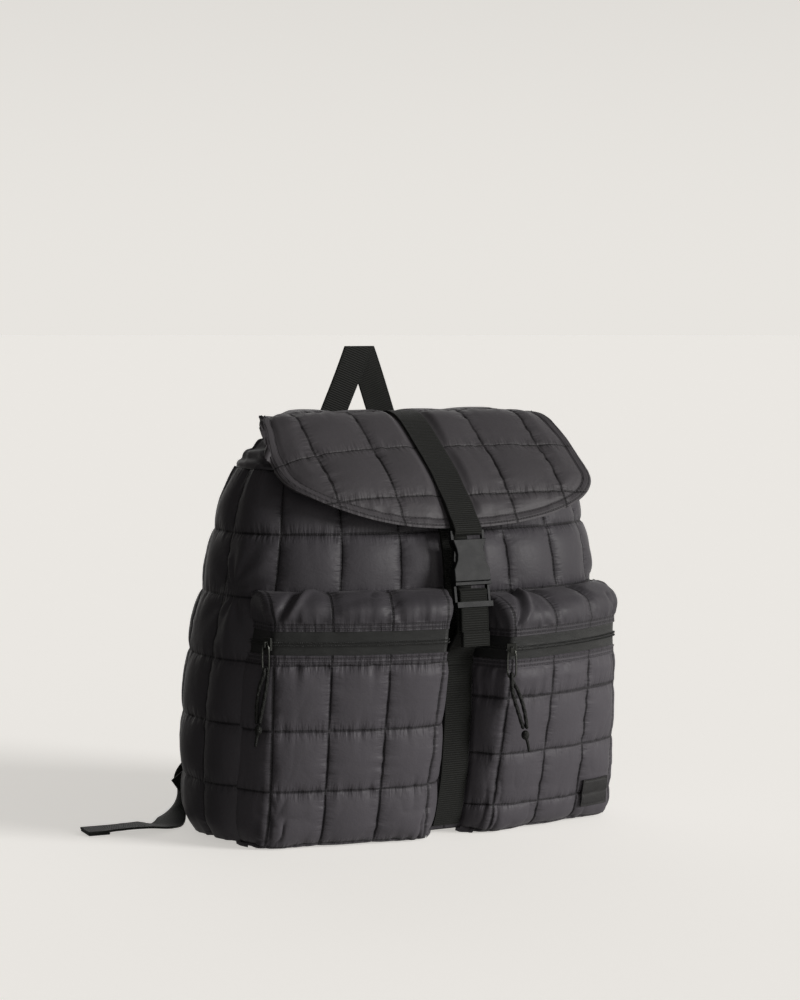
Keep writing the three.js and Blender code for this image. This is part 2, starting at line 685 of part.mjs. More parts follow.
function buildBuckle() {
  const { width, thickness, socketLength, barLength, side, bar, ladderLength } = buckle;
  const half = width / 2;
  const low = -barLength - socketLength;
  const mouthHigh = thickness - 3.6;
  const waist = half - 3.6; // half width at the release notches
  const right = [
    [half - 1, -barLength],
    [waist, -barLength - 7],
    [waist - 0.8, -barLength - 12],
    [waist, -barLength - 17],
    [half, -barLength - 24],
    [half, low],
  ];
  const left = right.map(([x, y]) => [-x, y]).reverse();
  const shape = new THREE.Shape([...right, ...left].map(([x, y]) => new THREE.Vector2(x, y)));
  const bevel = 0.9;
  const shell = new THREE.ExtrudeGeometry(shape, {
    depth: thickness - 2 * bevel,
    bevelThickness: bevel,
    bevelSize: bevel,
    bevelOffset: -bevel,
    bevelSegments: 2,
  }).translate(0, 0, bevel - thickness / 2);
  const ears = [-1, 1].map((sign) => boxAt(side, barLength + 3, bar, sign * (half - 2.2), -barLength / 2 - 0.8, 0));
  const mouth = boxAt(width - 5.6, socketLength, mouthHigh, 0, low + socketLength / 2 - 4, 0);
  const notches = boxAt(width + 4, 21, mouthHigh, 0, -barLength - 13, 0);
  const socket = cut(joined(shell, rodAlongX(bar / 2, width - 2.4, 0, 0, 0), ...ears), mouth, notches);
  addPiece('buckle_socket', onBuckleFace(socket), materials.plastic);

  // The plug has two sprung arms and a guide inside the socket, and a ladder frame for the webbing below it.
  const armHigh = mouthHigh - 2 * hardGap;
  const top = low - hardGap;
  const outside = half - 2.8 - hardGap;
  const arms = [-1, 1].map((sign) => {
    const corners = [[-3.2, -1], [0, -1], [0, 14], [1.6, 17.5], [0.6, 25], [-3, 27]];
    const armShape = new THREE.Shape(corners.map(([x, y]) => new THREE.Vector2(sign * (outside + x), top + y)));
    return new THREE.ExtrudeGeometry(armShape, { depth: armHigh, bevelEnabled: false }).translate(0, 0, -armHigh / 2);
  });
  const guide = boxAt(4, 20, armHigh, 0, top + 9, 0);
  const plate = boxAt(width, 2.6, thickness, 0, top - 1.3, 0);
  const frame = [-1, 1].map((sign) => boxAt(side, ladderLength, 4, sign * (half - side / 2), top - ladderLength / 2, -1.4));
  const ladderBar = rodAlongX(bar / 2, width - 2, 0, top - 9, -1.4);
  const lowBar = boxAt(width, 4.6, 2, 0, top - ladderLength + 2.3, 3.2);
  const lowEars = [-1, 1].map((sign) => boxAt(side, 4.6, 5, sign * (half - side / 2), top - ladderLength + 2.3, 1.2));
  const plug = joined(plate, ...arms, guide, ...frame, ladderBar, lowBar, ...lowEars);
  addPiece('buckle_plug', onBuckleFace(plug), materials.plastic);
}

// The lower webbing comes up from the centre strap, turns over the ladder's bar and hangs in front.
function buildTailStrap() {
  const { barLength, socketLength, ladderLength } = buckle;
  const top = barLength + socketLength + hardGap;
  const barDown = top + 9;
  const over = steps(0.3, Math.PI - 0.3, 6).map((turn) =>
    onBuckle(barDown - turnRadius * Math.sin(turn), -1.4 - turnRadius * Math.cos(turn)),
  );
  const half = webbing.thickness / 2;
  const sewn = (height) => [strapFace(height) - half - hardGap, height];
  const behind = [
    sewn(bag.height - buckle.sewnBelow - 9),
    sewn(bag.height - buckle.sewnBelow),
    onBuckle(top + ladderLength + 20, -9.5),
    onBuckle(top + ladderLength + 8, -6),
    onBuckle(top + ladderLength - 4, -4.2),
  ];
  const [tailY, tailZ] = onBuckle(top + ladderLength + 6, 0.6);
  const drop = tailZ - (bag.height - buckle.tailBelow);
  const front = [
    onBuckle(top + ladderLength - 6.5, 0.7),
    onBuckle(top + ladderLength, 0.8),
    [tailY, tailZ],
    [tailY - 0.5, tailZ - drop / 2],
    [tailY - 0.8, tailZ - drop + 12.2],
    [tailY - 0.8, tailZ - drop + 12],
    [tailY - 0.8, tailZ - drop],
  ];
  const stations = uprightStations([...behind, ...over, ...front]);
  const folded = stations.length - 2; // the end is folded over and stitched, twice as thick
  const thickness = (v) => webbing.thickness * (Math.round(v * (stations.length - 1)) >= folded ? 2 : 1);
  addPiece('buckle_tail_strap', band(stations, webbing.width, thickness), materials.webbing);
}

// The centre strap is sewn down the middle of the body's front.
const strapFace = (height) => bodyFront(0, height) - 1 - webbing.thickness;
function buildCentreStrap() {
  const points = steps(webbing.sewnIn, neckHeight - webbing.sewnIn, 22).map((height) => [strapFace(height) + webbing.thickness / 2, height]);
  addPiece('centre_strap', band(uprightStations(points), webbing.width, webbing.thickness), materials.webbing);
}

// The front pockets

// Plan of a pocket at one row: a place by its share round from the inner seam to the outer one.
// share runs 0 to 1 over the inner side, 1 to 2 over the front and 2 to 3 over the outer side.
function pocketPoint(row, share, mirror) {
  const innerBack = vec(pocketInnerX - 15.5, 0, row.height);
  const outerBack = vec(pocketOuterReach * bodySize(row.height).a, 0, row.height);
  const buried = pocket.bury * row.reach;
  for (const place of [innerBack, outerBack]) place.y = bodyFront(place.x, row.height) + buried;
  const innerEdge = vec(pocketInnerX, -row.inner * bag.frontDepth, row.height);
  const outerEdge = vec(pocketInnerX + pocketSpread, -row.outer * bag.frontDepth, row.height);
  let front;
  let back;
  if (share < 1) {
    back = innerBack.clone();
    front = innerBack.clone().lerp(innerEdge, share);
  } else if (share > 2) {
    back = outerBack.clone();
    front = outerEdge.clone().lerp(outerBack, share - 2);
  } else {
    const part = share - 1;
    const crown = 4 * part * (1 - part) * pocket.crown * (0.4 + 0.6 * row.bulge);
    front = innerEdge.clone().lerp(outerEdge, part);
    front.addScaledVector(vec(outerEdge.y - innerEdge.y, innerEdge.x - outerEdge.x, 0).normalize(), crown);
    const x = THREE.MathUtils.lerp(innerBack.x, outerBack.x, part);
    back = vec(x, bodyFront(x, row.height) + buried, row.height);
  }
  const place = back.lerp(front, row.reach);
  if (mirror) place.x = -place.x;
  return place;
}

const pocketShares = [
  ...steps(0, 1, 3),
  ...steps(1, 2, pocket.frontColumns * 3).slice(1),
  ...steps(2, 3, 3).slice(1),
];
const onPocketColumn = (share) =>
  onLine(share, 1) || (share > 1 && share < 2 && onLine(share - 1, 1 / pocket.frontColumns));

// A pocket's rows at their heights on one side of the bag.
const rowsOn = (rows, mirror) =>
  rows.map(({ left, right, ...row }) => ({ ...row, height: (mirror ? left : right) * pocket.height }));

function rowAt(rows, v) {
  const i = THREE.MathUtils.clamp(Math.floor(v), 0, rows.length - 2);
  const row = {};
  for (const name of Object.keys(rows[0])) row[name] = THREE.MathUtils.lerp(rows[i][name], rows[i + 1][name], v - i);
  return row;
}

// A sheet round a pocket, over columns from and to of its shares. liftAt gives the height of its face
// off the stitched surface, and its wall lies behind that. coarse lists the rows that its lining keeps.
function pocketSheet({ rows, mirror, liftAt, wall, coarse, columns = [0, pocketShares.length - 1] }) {
  const [first, last] = columns;
  const shareAt = (u) => {
    const i = THREE.MathUtils.clamp(Math.floor(u), 0, pocketShares.length - 2);
    return THREE.MathUtils.lerp(pocketShares[i], pocketShares[i + 1], u - i);
  };
  return paddedSheet({
    us: steps(first, last, last - first),
    vs: steps(0, rows.length - 1, rows.length - 1),
    surface: (u, v) => pocketPoint(rowAt(rows, v), shareAt(mirror ? pocketShares.length - 1 - u : u), mirror),
    wall: (u, v) => wall - liftAt(shareAt(mirror ? pocketShares.length - 1 - u : u), v, true),
    puff: (u, v) => liftAt(shareAt(mirror ? pocketShares.length - 1 - u : u), v, false),
    lineUs: coarse ? every(last - first + 1, quilt.steps) : undefined,
    lineVs: coarse,
  });
}

const pocketFrontPuffs = {
  left: [0, 0, 0, 0.4, 1, 1, 0, 1, 1, 0, 1, 1, 0, 0],
  right: [0, 0, 0, 0.3, 0.7, 0, 1, 1, 0, 1, 1, 0, 0.8, 0],
};
const pocketTopPuffs = [0, 0.8, 1, 0.8, 0, 0];
const pocketFrontLining = { left: [0, 3, 6, 9, 12, 13], right: [0, 3, 5, 8, 11, 13] };
const pocketTopLining = [0, 1, 2, 3, 4, 5];
const pocketPuff = (puffs) => (share, v, behind) =>
  behind || onPocketColumn(share) ? 0 : pocket.puff * puffs[Math.round(v)];

function buildPocket(side, mirror, blank) {
  const parts = {
    front: [pocketRows, pocketFrontPuffs[side], pocketFrontLining[side]],
    top: [pocketTopRows, pocketTopPuffs, pocketTopLining],
  };
  for (const [name, [rows, puffs, coarse]] of Object.entries(parts)) {
    const sheet = pocketSheet({ rows: rowsOn(rows, mirror), mirror, liftAt: pocketPuff(puffs), wall: pocket.wall, coarse });
    addPiece(`${side}_pocket_${name}`, cut(sheet, blank), materials.shell);
  }
}

// The rows beside a zip, and its own, by how far above its middle they lie.
const zipEdges = (mirror) => [rowsOn(pocketRows, mirror).at(-1), rowsOn(pocketTopRows, mirror)[0]];
const zipRow = (off, mirror) => {
  const [low, high] = zipEdges(mirror);
  const share = 0.5 + off / (high.height - low.height);
  const row = {};
  for (const name of Object.keys(low)) row[name] = THREE.MathUtils.lerp(low[name], high[name], share);
  return row;
};
const coilFace = -zip.setBack + hardGap + 0.25 + zip.coilHeight;

function buildZip(side, mirror, blank) {
  const [low, high] = zipEdges(mirror);
  const halfTape = (high.height - low.height) / 2;
  const tape = pocketSheet({
    rows: [zipRow(hardGap - halfTape, mirror), zipRow(halfTape - 2 * hardGap, mirror)],
    mirror,
    liftAt: () => -zip.setBack,
    wall: zip.tape,
  });
  addPiece(`${side}_zip_tape`, cut(tape, blank), materials.tape);
  const coil = pocketSheet({
    rows: [zipRow(-zip.coilWidth / 2, mirror), zipRow(zip.coilWidth / 2, mirror)],
    mirror,
    liftAt: () => coilFace,
    wall: zip.coilHeight,
    columns: [1, pocketShares.length - 2],
  });
  addPiece(`${side}_zip_coil`, cut(coil, blank), materials.tape);
}

// The frame of a slider at a front edge of its pocket: the place on the coil and the way its face looks.
function cornerFrame(share, mirror) {
  const row = zipRow(0, mirror);
  const at = pocketPoint(row, share, mirror);
  const before = pocketPoint(row, share - 0.1, mirror).sub(at).normalize();
  const after = pocketPoint(row, share + 0.03, mirror).sub(at).normalize();
  const out = before.add(after).negate().setZ(0).normalize();
  return { at: at.addScaledVector(out, coilFace + hardGap + 0.55), out };
}

// A slider hugs the pocket's corner; a wire pull hangs from its bridge, and a knotted cord from the wire.
function buildPull(side, share, mirror, swing) {
  const { at, out } = cornerFrame(share, mirror);
  const down = vec(0, 0, -1);
  const place = (geometry) => setAt(geometry, at, down, out);
  const wire = pull.wire / 2;
  const half = pull.width / 2 - wire;
  const { sliderWidth, sliderLength, sliderHeight, bridge } = zip;
  const inner = wire + hardGap; // from the wire's axis to the bridge
  const plane = sliderHeight + inner; // of the wire, over the slider's back
  const posts = [-1, 1].map((sign) =>
    boxAt(bridge, 1.2, plane + inner + 1.2, 0, sign * (inner + 0.6), (plane + inner + 1.2) / 2),
  );
  const roof = boxAt(bridge, 2 * inner + 2.4, 1.2, 0, 0, plane + inner + 0.6);
  const plate = boxAt(sliderWidth, sliderLength, sliderHeight, 0, 0, sliderHeight / 2);
  addPiece(`${side}_slider`, place(joined(plate, ...posts, roof)), materials.metal);
  const low = -pull.length + pull.wire;
  const loop = [
    vec(-half, -1, plane), vec(-half + 0.6, 0, plane), vec(half - 0.6, 0, plane), vec(half, -1, plane),
    vec(half, low + 1, plane), vec(half - 0.8, low, plane), vec(-half + 0.8, low, plane), vec(-half, low + 1, plane),
  ];
  addPiece(`${side}_wire_pull`, place(cord(loop, wire, 18, true)), materials.metal);
  const strand = pull.cord / 2;
  const turn = wire + strand + hardGap + 0.25;
  const knotTop = low - pull.loopLength;
  const lean = (share_) => swing * share_;
  const string = [
    vec(lean(1) - strand - 0.3, knotTop, plane),
    vec(lean(0.7) - 3.4, low - pull.loopLength * 0.65, plane + 1),
    vec(lean(0.3) - 3, low - pull.loopLength * 0.3, plane + 2),
    vec(0, low - 2, plane + turn),
    vec(0, low + turn * 0.72, plane + turn * 0.72),
    vec(0, low + turn, plane),
    vec(0, low + turn * 0.72, plane - turn * 0.72),
    vec(0, low - 2, plane - turn + 0.2),
    vec(lean(0.3) + 3, low - pull.loopLength * 0.3, plane - 0.6),
    vec(lean(0.7) + 3.4, low - pull.loopLength * 0.65, plane),
    vec(lean(1) + strand + 0.3, knotTop, plane),
  ];
  addPiece(`${side}_pull_cord`, place(cord(string, strand, 20)), materials.cord);
  const radius = pull.knot / 2;
  const knotAt = knotTop - radius - hardGap - 0.2;
  const knot = new THREE.IcosahedronGeometry(radius, 1).scale(0.95, 1.1, 0.8).translate(lean(1), knotAt, plane);
  const tail = cord(
    [vec(lean(1), knotAt, plane), vec(lean(1.12), knotAt - radius, plane), vec(lean(1.3), knotAt - radius - pull.tailLength, plane + 1)],
    strand + 0.3, 4,
  );
  addPiece(`${side}_pull_knot`, place(joined(knot, tail)), materials.cord);
}

// A bare patch is sewn on the right pocket, low beside its outer edge.
function buildPatch() {
  const rows = rowsOn(pocketRows, false);
  const skin = pocketSheet({
    rows,
    mirror: false,
    liftAt: (share, v, behind) =>
      behind ? 0 : pocketPuff(pocketFrontPuffs.right)(share, v, false) + hardGap + patch.thickness,
    wall: 0,
  });
  const under = pocketSheet({
    rows,
    mirror: false,
    liftAt: (share, v, behind) => (behind ? 0 : pocketPuff(pocketFrontPuffs.right)(share, v, false) + hardGap),
    wall: pocket.wall,
  });
  const row = readTable(rows, 'height', patch.middle);
  const at = pocketPoint(row, patch.share, false);
  const along = pocketPoint(row, patch.share + 0.02, false).sub(at).normalize();
  const out = along.clone().cross(vec(0, 0, 1));
  const cutter = setAt(boxAt(patch.width, patch.height, 30, 0, 0, 10), at, vec(0, 0, -1), out);
  addPiece('label_patch', cut(common(skin, cutter), under), materials.webbing);
}

// The back: handle, shoulder pads and their straps

const panelFace = (x, height) => {
  const { a, back } = bodySize(height);
  return back * (1 - Math.min(Math.abs(x) / a, 1) ** backPower) ** (1 / backPower) + backPanel.puff;
};

// The grab handle is one length of webbing folded to an upturned V, standing behind the lid.
function buildHandle() {
  const { halfFoot, halfTop, shift, lean } = handle;
  const height = bag.height + handle.rise;
  const foot = bag.height - handle.footDrop;
  const bend = lidCrest - handle.sewnDrop;
  const outer = (z) => THREE.MathUtils.mapLinear(z, height, foot, halfTop, halfFoot);
  const breadth = webbing.width * Math.hypot(1, (halfFoot - halfTop) / (height - foot));
  const apex = THREE.MathUtils.mapLinear(breadth, halfTop, halfFoot, height, foot);
  const inner = (z) => Math.max(outer(z) - breadth, -1); // the two legs lap at the fold
  const lidBack = Math.max(...lidBackStops.map(({ y, reach }) => (reach > lid.backLength ? 0 : y))) + lid.pressed * lid.puff;
  const standing = Math.max(lidBack, panelFace(0, foot), panelFace(0, neckHeight)) + hardGap;
  const leg = (sign) =>
    lofted(
      [foot, bend, apex, height].map((z) => {
        const near = standing - (z > bend ? (lean * (z - bend)) / (height - bend) : 0);
        const [a, b] = [sign * inner(z) + shift, sign * outer(z) + shift];
        const far = near + webbing.thickness;
        return [vec(a, near, z), vec(b, near, z), vec(b, far, z), vec(a, far, z)];
      }),
    );
  addPiece('grab_handle', joined(leg(-1), leg(1)), materials.webbing);
}

// Half the pad's thickness at a share of its length; its stitched ends are pressed thin.
const padHalf = (v) => (pad.thickness / 2) * (v < 0.01 || v > 0.99 ? 0.45 : 1);

function padStations(sign) {
  const places = steps(0, 1, 12).map((v) => {
    const row = readTable(padLine, 'down', v);
    const x = row.side * bag.halfWidth;
    const z = row.height * bag.height;
    const clear = THREE.MathUtils.lerp(pad.clear, pad.endClear, v);
    const off = clear + padHalf(v) + pad.bow * Math.sin(Math.PI * v);
    return { at: vec(sign * x, panelFace(x, z) + off, z), faces: vec(0, 1, 0) };
  });
  return facedStations(places);
}

function buildShoulderStrap(side, sign, tail, blank) {
  const stations = padStations(sign);
  const section = (v) => {
    const i = THREE.MathUtils.lerp(pad.topWidth, pad.endWidth, v) / 2;
    const k = padHalf(v);
    return [[-i, k * 0.3], [-i + 3, k], [i - 3, k], [i, k * 0.3], [i, -k * 0.3], [i - 3, -k], [-i + 3, -k], [-i, -k * 0.3]];
  };
  addPiece(`${side}_shoulder_pad`, sweep(stations, section), materials.lining);

  // The adjuster is a frame with two bars; the webbing runs behind the low bar and over the middle one.
  const end = stations.at(-1);
  const out = end.out;
  const down = end.out.clone().cross(end.across).normalize();
  if (down.z > 0) down.negate();
  const { width, length, side: rail, bar } = adjuster;
  const at = end.at.clone().addScaledVector(down, hardGap + bar / 2 + 0.2);
  const on = (across, along, lift) =>
    at.clone().addScaledVector(end.across, across).addScaledVector(down, along).addScaledVector(out, lift);
  const rails = [-1, 1].map((k) => boxAt(rail, length, bar, (k * (width - rail)) / 2, bar / 2 - length / 2, 0));
  const bars = [0, 0.46, 1].map((share) => rodAlongX(bar / 2, width - rail, 0, -share * (length - bar), 0));
  addPiece(`${side}_strap_adjuster`, setAt(joined(...rails, ...bars), at, down, out), materials.plastic);

  const ring = bar / 2 + hardGap + webbing.thickness / 2;
  const middle = 0.46 * (length - bar);
  const low = length - bar;
  const outward = vec(sign * 0.64, 0.77, 0);
  const seam = (height, off) => {
    const place = bodyPoint(seamAngle, height);
    return place.setX(sign * place.x).addScaledVector(outward, off);
  };
  const anchorAt = seam(22, 28);
  const back = vec(0, 1, 0);
  const from = on(0, low + 6, -ring - 0.4);
  const lead = [0, 0.35, 0.7].map((t) => ({ at: anchorAt.clone().lerp(from, t), faces: back }));
  const around = steps(-0.2, 1.2, 6).map((t) => {
    const turn = t * Math.PI;
    return { at: on(0, middle - ring * Math.sin(turn), -ring * Math.cos(turn)), faces: null, turn };
  });
  const loop = around.map(({ at: place, turn }) => ({
    at: place,
    faces: down.clone().multiplyScalar(-Math.sin(turn)).addScaledVector(out, -Math.cos(turn)).negate(),
  }));
  const behind = [{ at: from, faces: back }, { at: on(0, low - 1, -ring - 0.2), faces: back }];
  const before = [{ at: on(0, low - 1, ring + 0.2), faces: back.clone().negate() }];
  const flipped = [...lead, ...behind].map(({ at: place, faces }) => ({ at: place, faces: faces.clone() }));
  const hanging = tail(on, low, ring).map(({ at: place, faces }) => ({ at: place, faces: faces.clone().negate() }));
  const places = [...flipped, ...loop, ...before, ...hanging];
  const folded = places.length - 2; // the free end is folded over and stitched
  const thickness = (v) => webbing.thickness * (Math.round(v * (places.length - 1)) >= folded ? 2 : 1);
  addPiece(`${side}_lower_strap`, band(facedStations(places), webbing.width, thickness), materials.webbing);

  // The anchor is a triangle of doubled fabric sewn into the low end of the back panel's seam.
  const tip = anchorAt.clone().addScaledVector(outward, -3);
  const root = [8, 20, 33, 46].map((height) => seam(height, -5));
  const corners = [...root, tip.clone().add(vec(0, 0, 13)), tip.clone().add(vec(0, 0, -13))];
  const thick = vec(sign * 0.77, -0.64, 0).multiplyScalar(1.1);
  const plate = lofted([corners.map((p) => p.clone().sub(thick)), corners.map((p) => p.clone().add(thick))]);
  addPiece(`${side}_strap_anchor`, cut(plate, blank), materials.lining);
}

buildBody();
buildBase();
buildCollar();
buildLid();
buildLidStrap();
buildBuckle();
buildCentreStrap();
buildTailStrap();
buildHandle();
const blank = bodyBlank(pocket.bodyGap);
buildPocket('left', true, blank);
buildPocket('right', false, blank);
buildZip('left', true, blank);
buildZip('right', false, blank);
buildPull('left', 2.06, true, -8);
buildPull('right', 1, false, 11);
buildPatch();

// The left tail falls to the floor and lies out to the side; the right one is pulled short.
const away = vec(0, 1, 0);
const tailFaces = { away, turning: vec(-0.2, 0.9, 0.4), settling: vec(-0.2, 0.5, 0.8), up: vec(0, 0, 1) };
const leftTail = (on, low, ring) => [
  { at: on(0, low + 8, ring + 1), faces: away },
  ...leftTailWay.map(({ side, behind, rise, faces }) => ({
    at: vec(-side * bag.halfWidth, behind * bag.backDepth, rise * bag.height),
    faces: tailFaces[faces],
  })),
];
const rightTail = (on, low, ring) => [
  { at: on(0, low + 8, ring + 1), faces: away },
  { at: on(0, low + 20, ring + 2.5), faces: away },
  { at: on(0, low + 20.3, ring + 2.5), faces: away },
  { at: on(0, low + 36, ring + 3.5), faces: away },
];
buildShoulderStrap('left', -1, leftTail, blank);
buildShoulderStrap('right', 1, rightTail, blank);

export default backpack;
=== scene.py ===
"""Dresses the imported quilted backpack: quilting, gathers, webbing, zips, buckle, finishes, light and camera.

Lengths are in millimetres until a mesh is stored. The front faces -Y and the bag stands on the floor.
"""

from __future__ import annotations

import json
import logging
import math
from collections.abc import Callable, Sequence
from dataclasses import dataclass, field
from enum import Enum
from functools import partial

import bpy
import numpy as np
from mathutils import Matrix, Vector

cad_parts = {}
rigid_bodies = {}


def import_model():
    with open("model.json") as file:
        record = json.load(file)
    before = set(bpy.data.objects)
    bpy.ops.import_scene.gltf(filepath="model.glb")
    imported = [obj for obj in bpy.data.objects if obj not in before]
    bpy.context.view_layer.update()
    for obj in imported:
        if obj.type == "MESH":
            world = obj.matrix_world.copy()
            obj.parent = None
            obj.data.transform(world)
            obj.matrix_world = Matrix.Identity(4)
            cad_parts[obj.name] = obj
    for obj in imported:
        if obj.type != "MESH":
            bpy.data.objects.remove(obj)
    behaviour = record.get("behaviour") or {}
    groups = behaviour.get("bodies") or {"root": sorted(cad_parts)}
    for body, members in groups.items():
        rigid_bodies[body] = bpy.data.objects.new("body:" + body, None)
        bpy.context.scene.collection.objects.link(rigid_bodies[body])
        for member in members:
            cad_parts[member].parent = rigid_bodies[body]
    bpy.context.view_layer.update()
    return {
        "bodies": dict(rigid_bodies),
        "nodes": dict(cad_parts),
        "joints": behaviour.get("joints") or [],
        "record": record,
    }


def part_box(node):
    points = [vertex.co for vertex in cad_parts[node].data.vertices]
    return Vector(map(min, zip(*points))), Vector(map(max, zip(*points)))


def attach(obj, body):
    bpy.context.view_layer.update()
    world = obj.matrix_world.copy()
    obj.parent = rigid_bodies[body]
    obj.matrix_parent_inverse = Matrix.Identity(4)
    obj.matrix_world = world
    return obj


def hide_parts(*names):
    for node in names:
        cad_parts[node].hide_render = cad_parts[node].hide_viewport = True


logging.basicConfig(level=logging.INFO, format="%(message)s")
log = logging.getLogger("backpack")

MM = 0.001
TURN = 2 * math.pi
BODY = "root"
Array = np.ndarray
Colour = tuple[float, float, float]


# Tables and noise


class Table:
    """A table of named columns that is read, straight or softened, at values of one of them."""

    def __init__(self, names: str, rows: Sequence[Sequence[float]]) -> None:
        """Keeps the columns.

        Args:
            names: The columns' names, separated by spaces.
            rows: One row of numbers per place.
        """
        self.columns = {name: np.array(column, float) for name, column in zip(names.split(), zip(*rows))}
        self.key = self.columns[names.split()[0]]

    def read(self, name: str, at: Array | float, soften: float = 0.0) -> Array:
        """Reads a column.

        Args:
            name: The column to read.
            at: Values of the first column.
            soften: Half width of the stretch over which corners are rounded.

        Returns:
            The column's values there.
        """
        at = np.asarray(at, float)
        if not soften:
            return np.interp(at, self.key, self.columns[name])
        taps = np.linspace(-1, 1, 7)
        weights = 1 - taps**2 * 0.8
        column = self.columns[name]
        read = sum(w * np.interp(at + soften * t, self.key, column) for t, w in zip(taps, weights))
        return read / sum(weights)


def table(names: str, rows: Sequence[Sequence[float]]) -> Table:
    """Declares a dataclass's field that holds a table."""
    return field(default_factory=lambda: Table(names, rows))


class Noise:
    """Smooth seeded noise over a plane, from -1 to 1."""

    def __init__(self, seed: int) -> None:
        """Draws the lattice of values."""
        self.lattice = np.random.default_rng(seed).uniform(-1, 1, (128, 128))

    def at(self, x: Array, y: Array | float = 0.0) -> Array:
        """Reads the noise at places given in lattice steps."""
        x, y = np.broadcast_arrays(np.asarray(x, float), np.asarray(y, float))
        i, j = np.floor(x).astype(int), np.floor(y).astype(int)
        s, t = x - i, y - j
        s, t = s * s * (3 - 2 * s), t * t * (3 - 2 * t)

        def corner(a: int, b: int) -> Array:
            """Reads the lattice at a corner of each place's cell."""
            return self.lattice[(i + a) % 128, (j + b) % 128]

        low = corner(0, 0) * (1 - s) + corner(1, 0) * s
        high = corner(0, 1) * (1 - s) + corner(1, 1) * s
        return low * (1 - t) + high * t

    def ridges(self, x: Array, y: Array, sharpness: float = 4.0) -> Array:
        """Reads creases: thin ridges of height 1 where the noise passes through nothing."""
        return (1 - np.abs(self.at(x, y))) ** sharpness


def ramp(value: Array, start: float, end: float) -> Array:
    """Rises smoothly from 0 at start to 1 at end."""
    share = np.clip((value - start) / (end - start), 0, 1)
    return share * share * (3 - 2 * share)


def signed_power(value: Array, power: float | Array) -> Array:
    """Raises the size of a value to a power and keeps its sign."""
    return np.sign(value) * np.abs(value) ** power


def hill(value: Array, width: float) -> Array:
    """Rises to 1 where the value is 0 and falls off over a width."""
    return np.exp(-((value / width) ** 2))


def unit(ways: Array) -> Array:
    """Scales directions to length 1."""
    return ways / np.linalg.norm(ways, axis=-1, keepdims=True)


def lengths_along(line: Array) -> Array:
    """Returns how far along a line each of its places lies."""
    return np.concatenate([[0], np.cumsum(np.linalg.norm(np.diff(line, axis=0), axis=1))])


# Sheets


@dataclass
class Grid:
    """Places of a sheet, row by row, with their share u across and v along."""

    u: Array
    v: Array
    places: Array
    flip: bool = False

    @property
    def normals(self) -> Array:
        """Unit normals, out of the sheet's face."""
        across = np.gradient(self.places, axis=1)
        along = np.gradient(self.places, axis=0)
        normal = np.cross(across, along)
        normal /= np.maximum(np.linalg.norm(normal, axis=2, keepdims=True), 1e-9)
        return -normal if self.flip else normal

    def raised(self, lift: Array) -> "Grid":
        """Returns the sheet with its places moved out along their normals."""
        return Grid(self.u, self.v, self.places + self.normals * lift[..., None], self.flip)


def shares(columns: int, rows: int, dense_ends: float = 0.0) -> tuple[Array, Array]:
    """Spreads shares over a sheet.

    Args:
        columns: Places across.
        rows: Places along.
        dense_ends: How far, from 0 to 1, the columns crowd towards both ends.

    Returns:
        u and v, from 0 to 1, one row of the sheet per row of the array.
    """
    u, v = np.meshgrid(np.linspace(0, 1, columns), np.linspace(0, 1, rows))
    w = 2 * u - 1
    crowded = (w * (3 - w * w) / 2 + 1) / 2
    return u + (crowded - u) * dense_ends, v


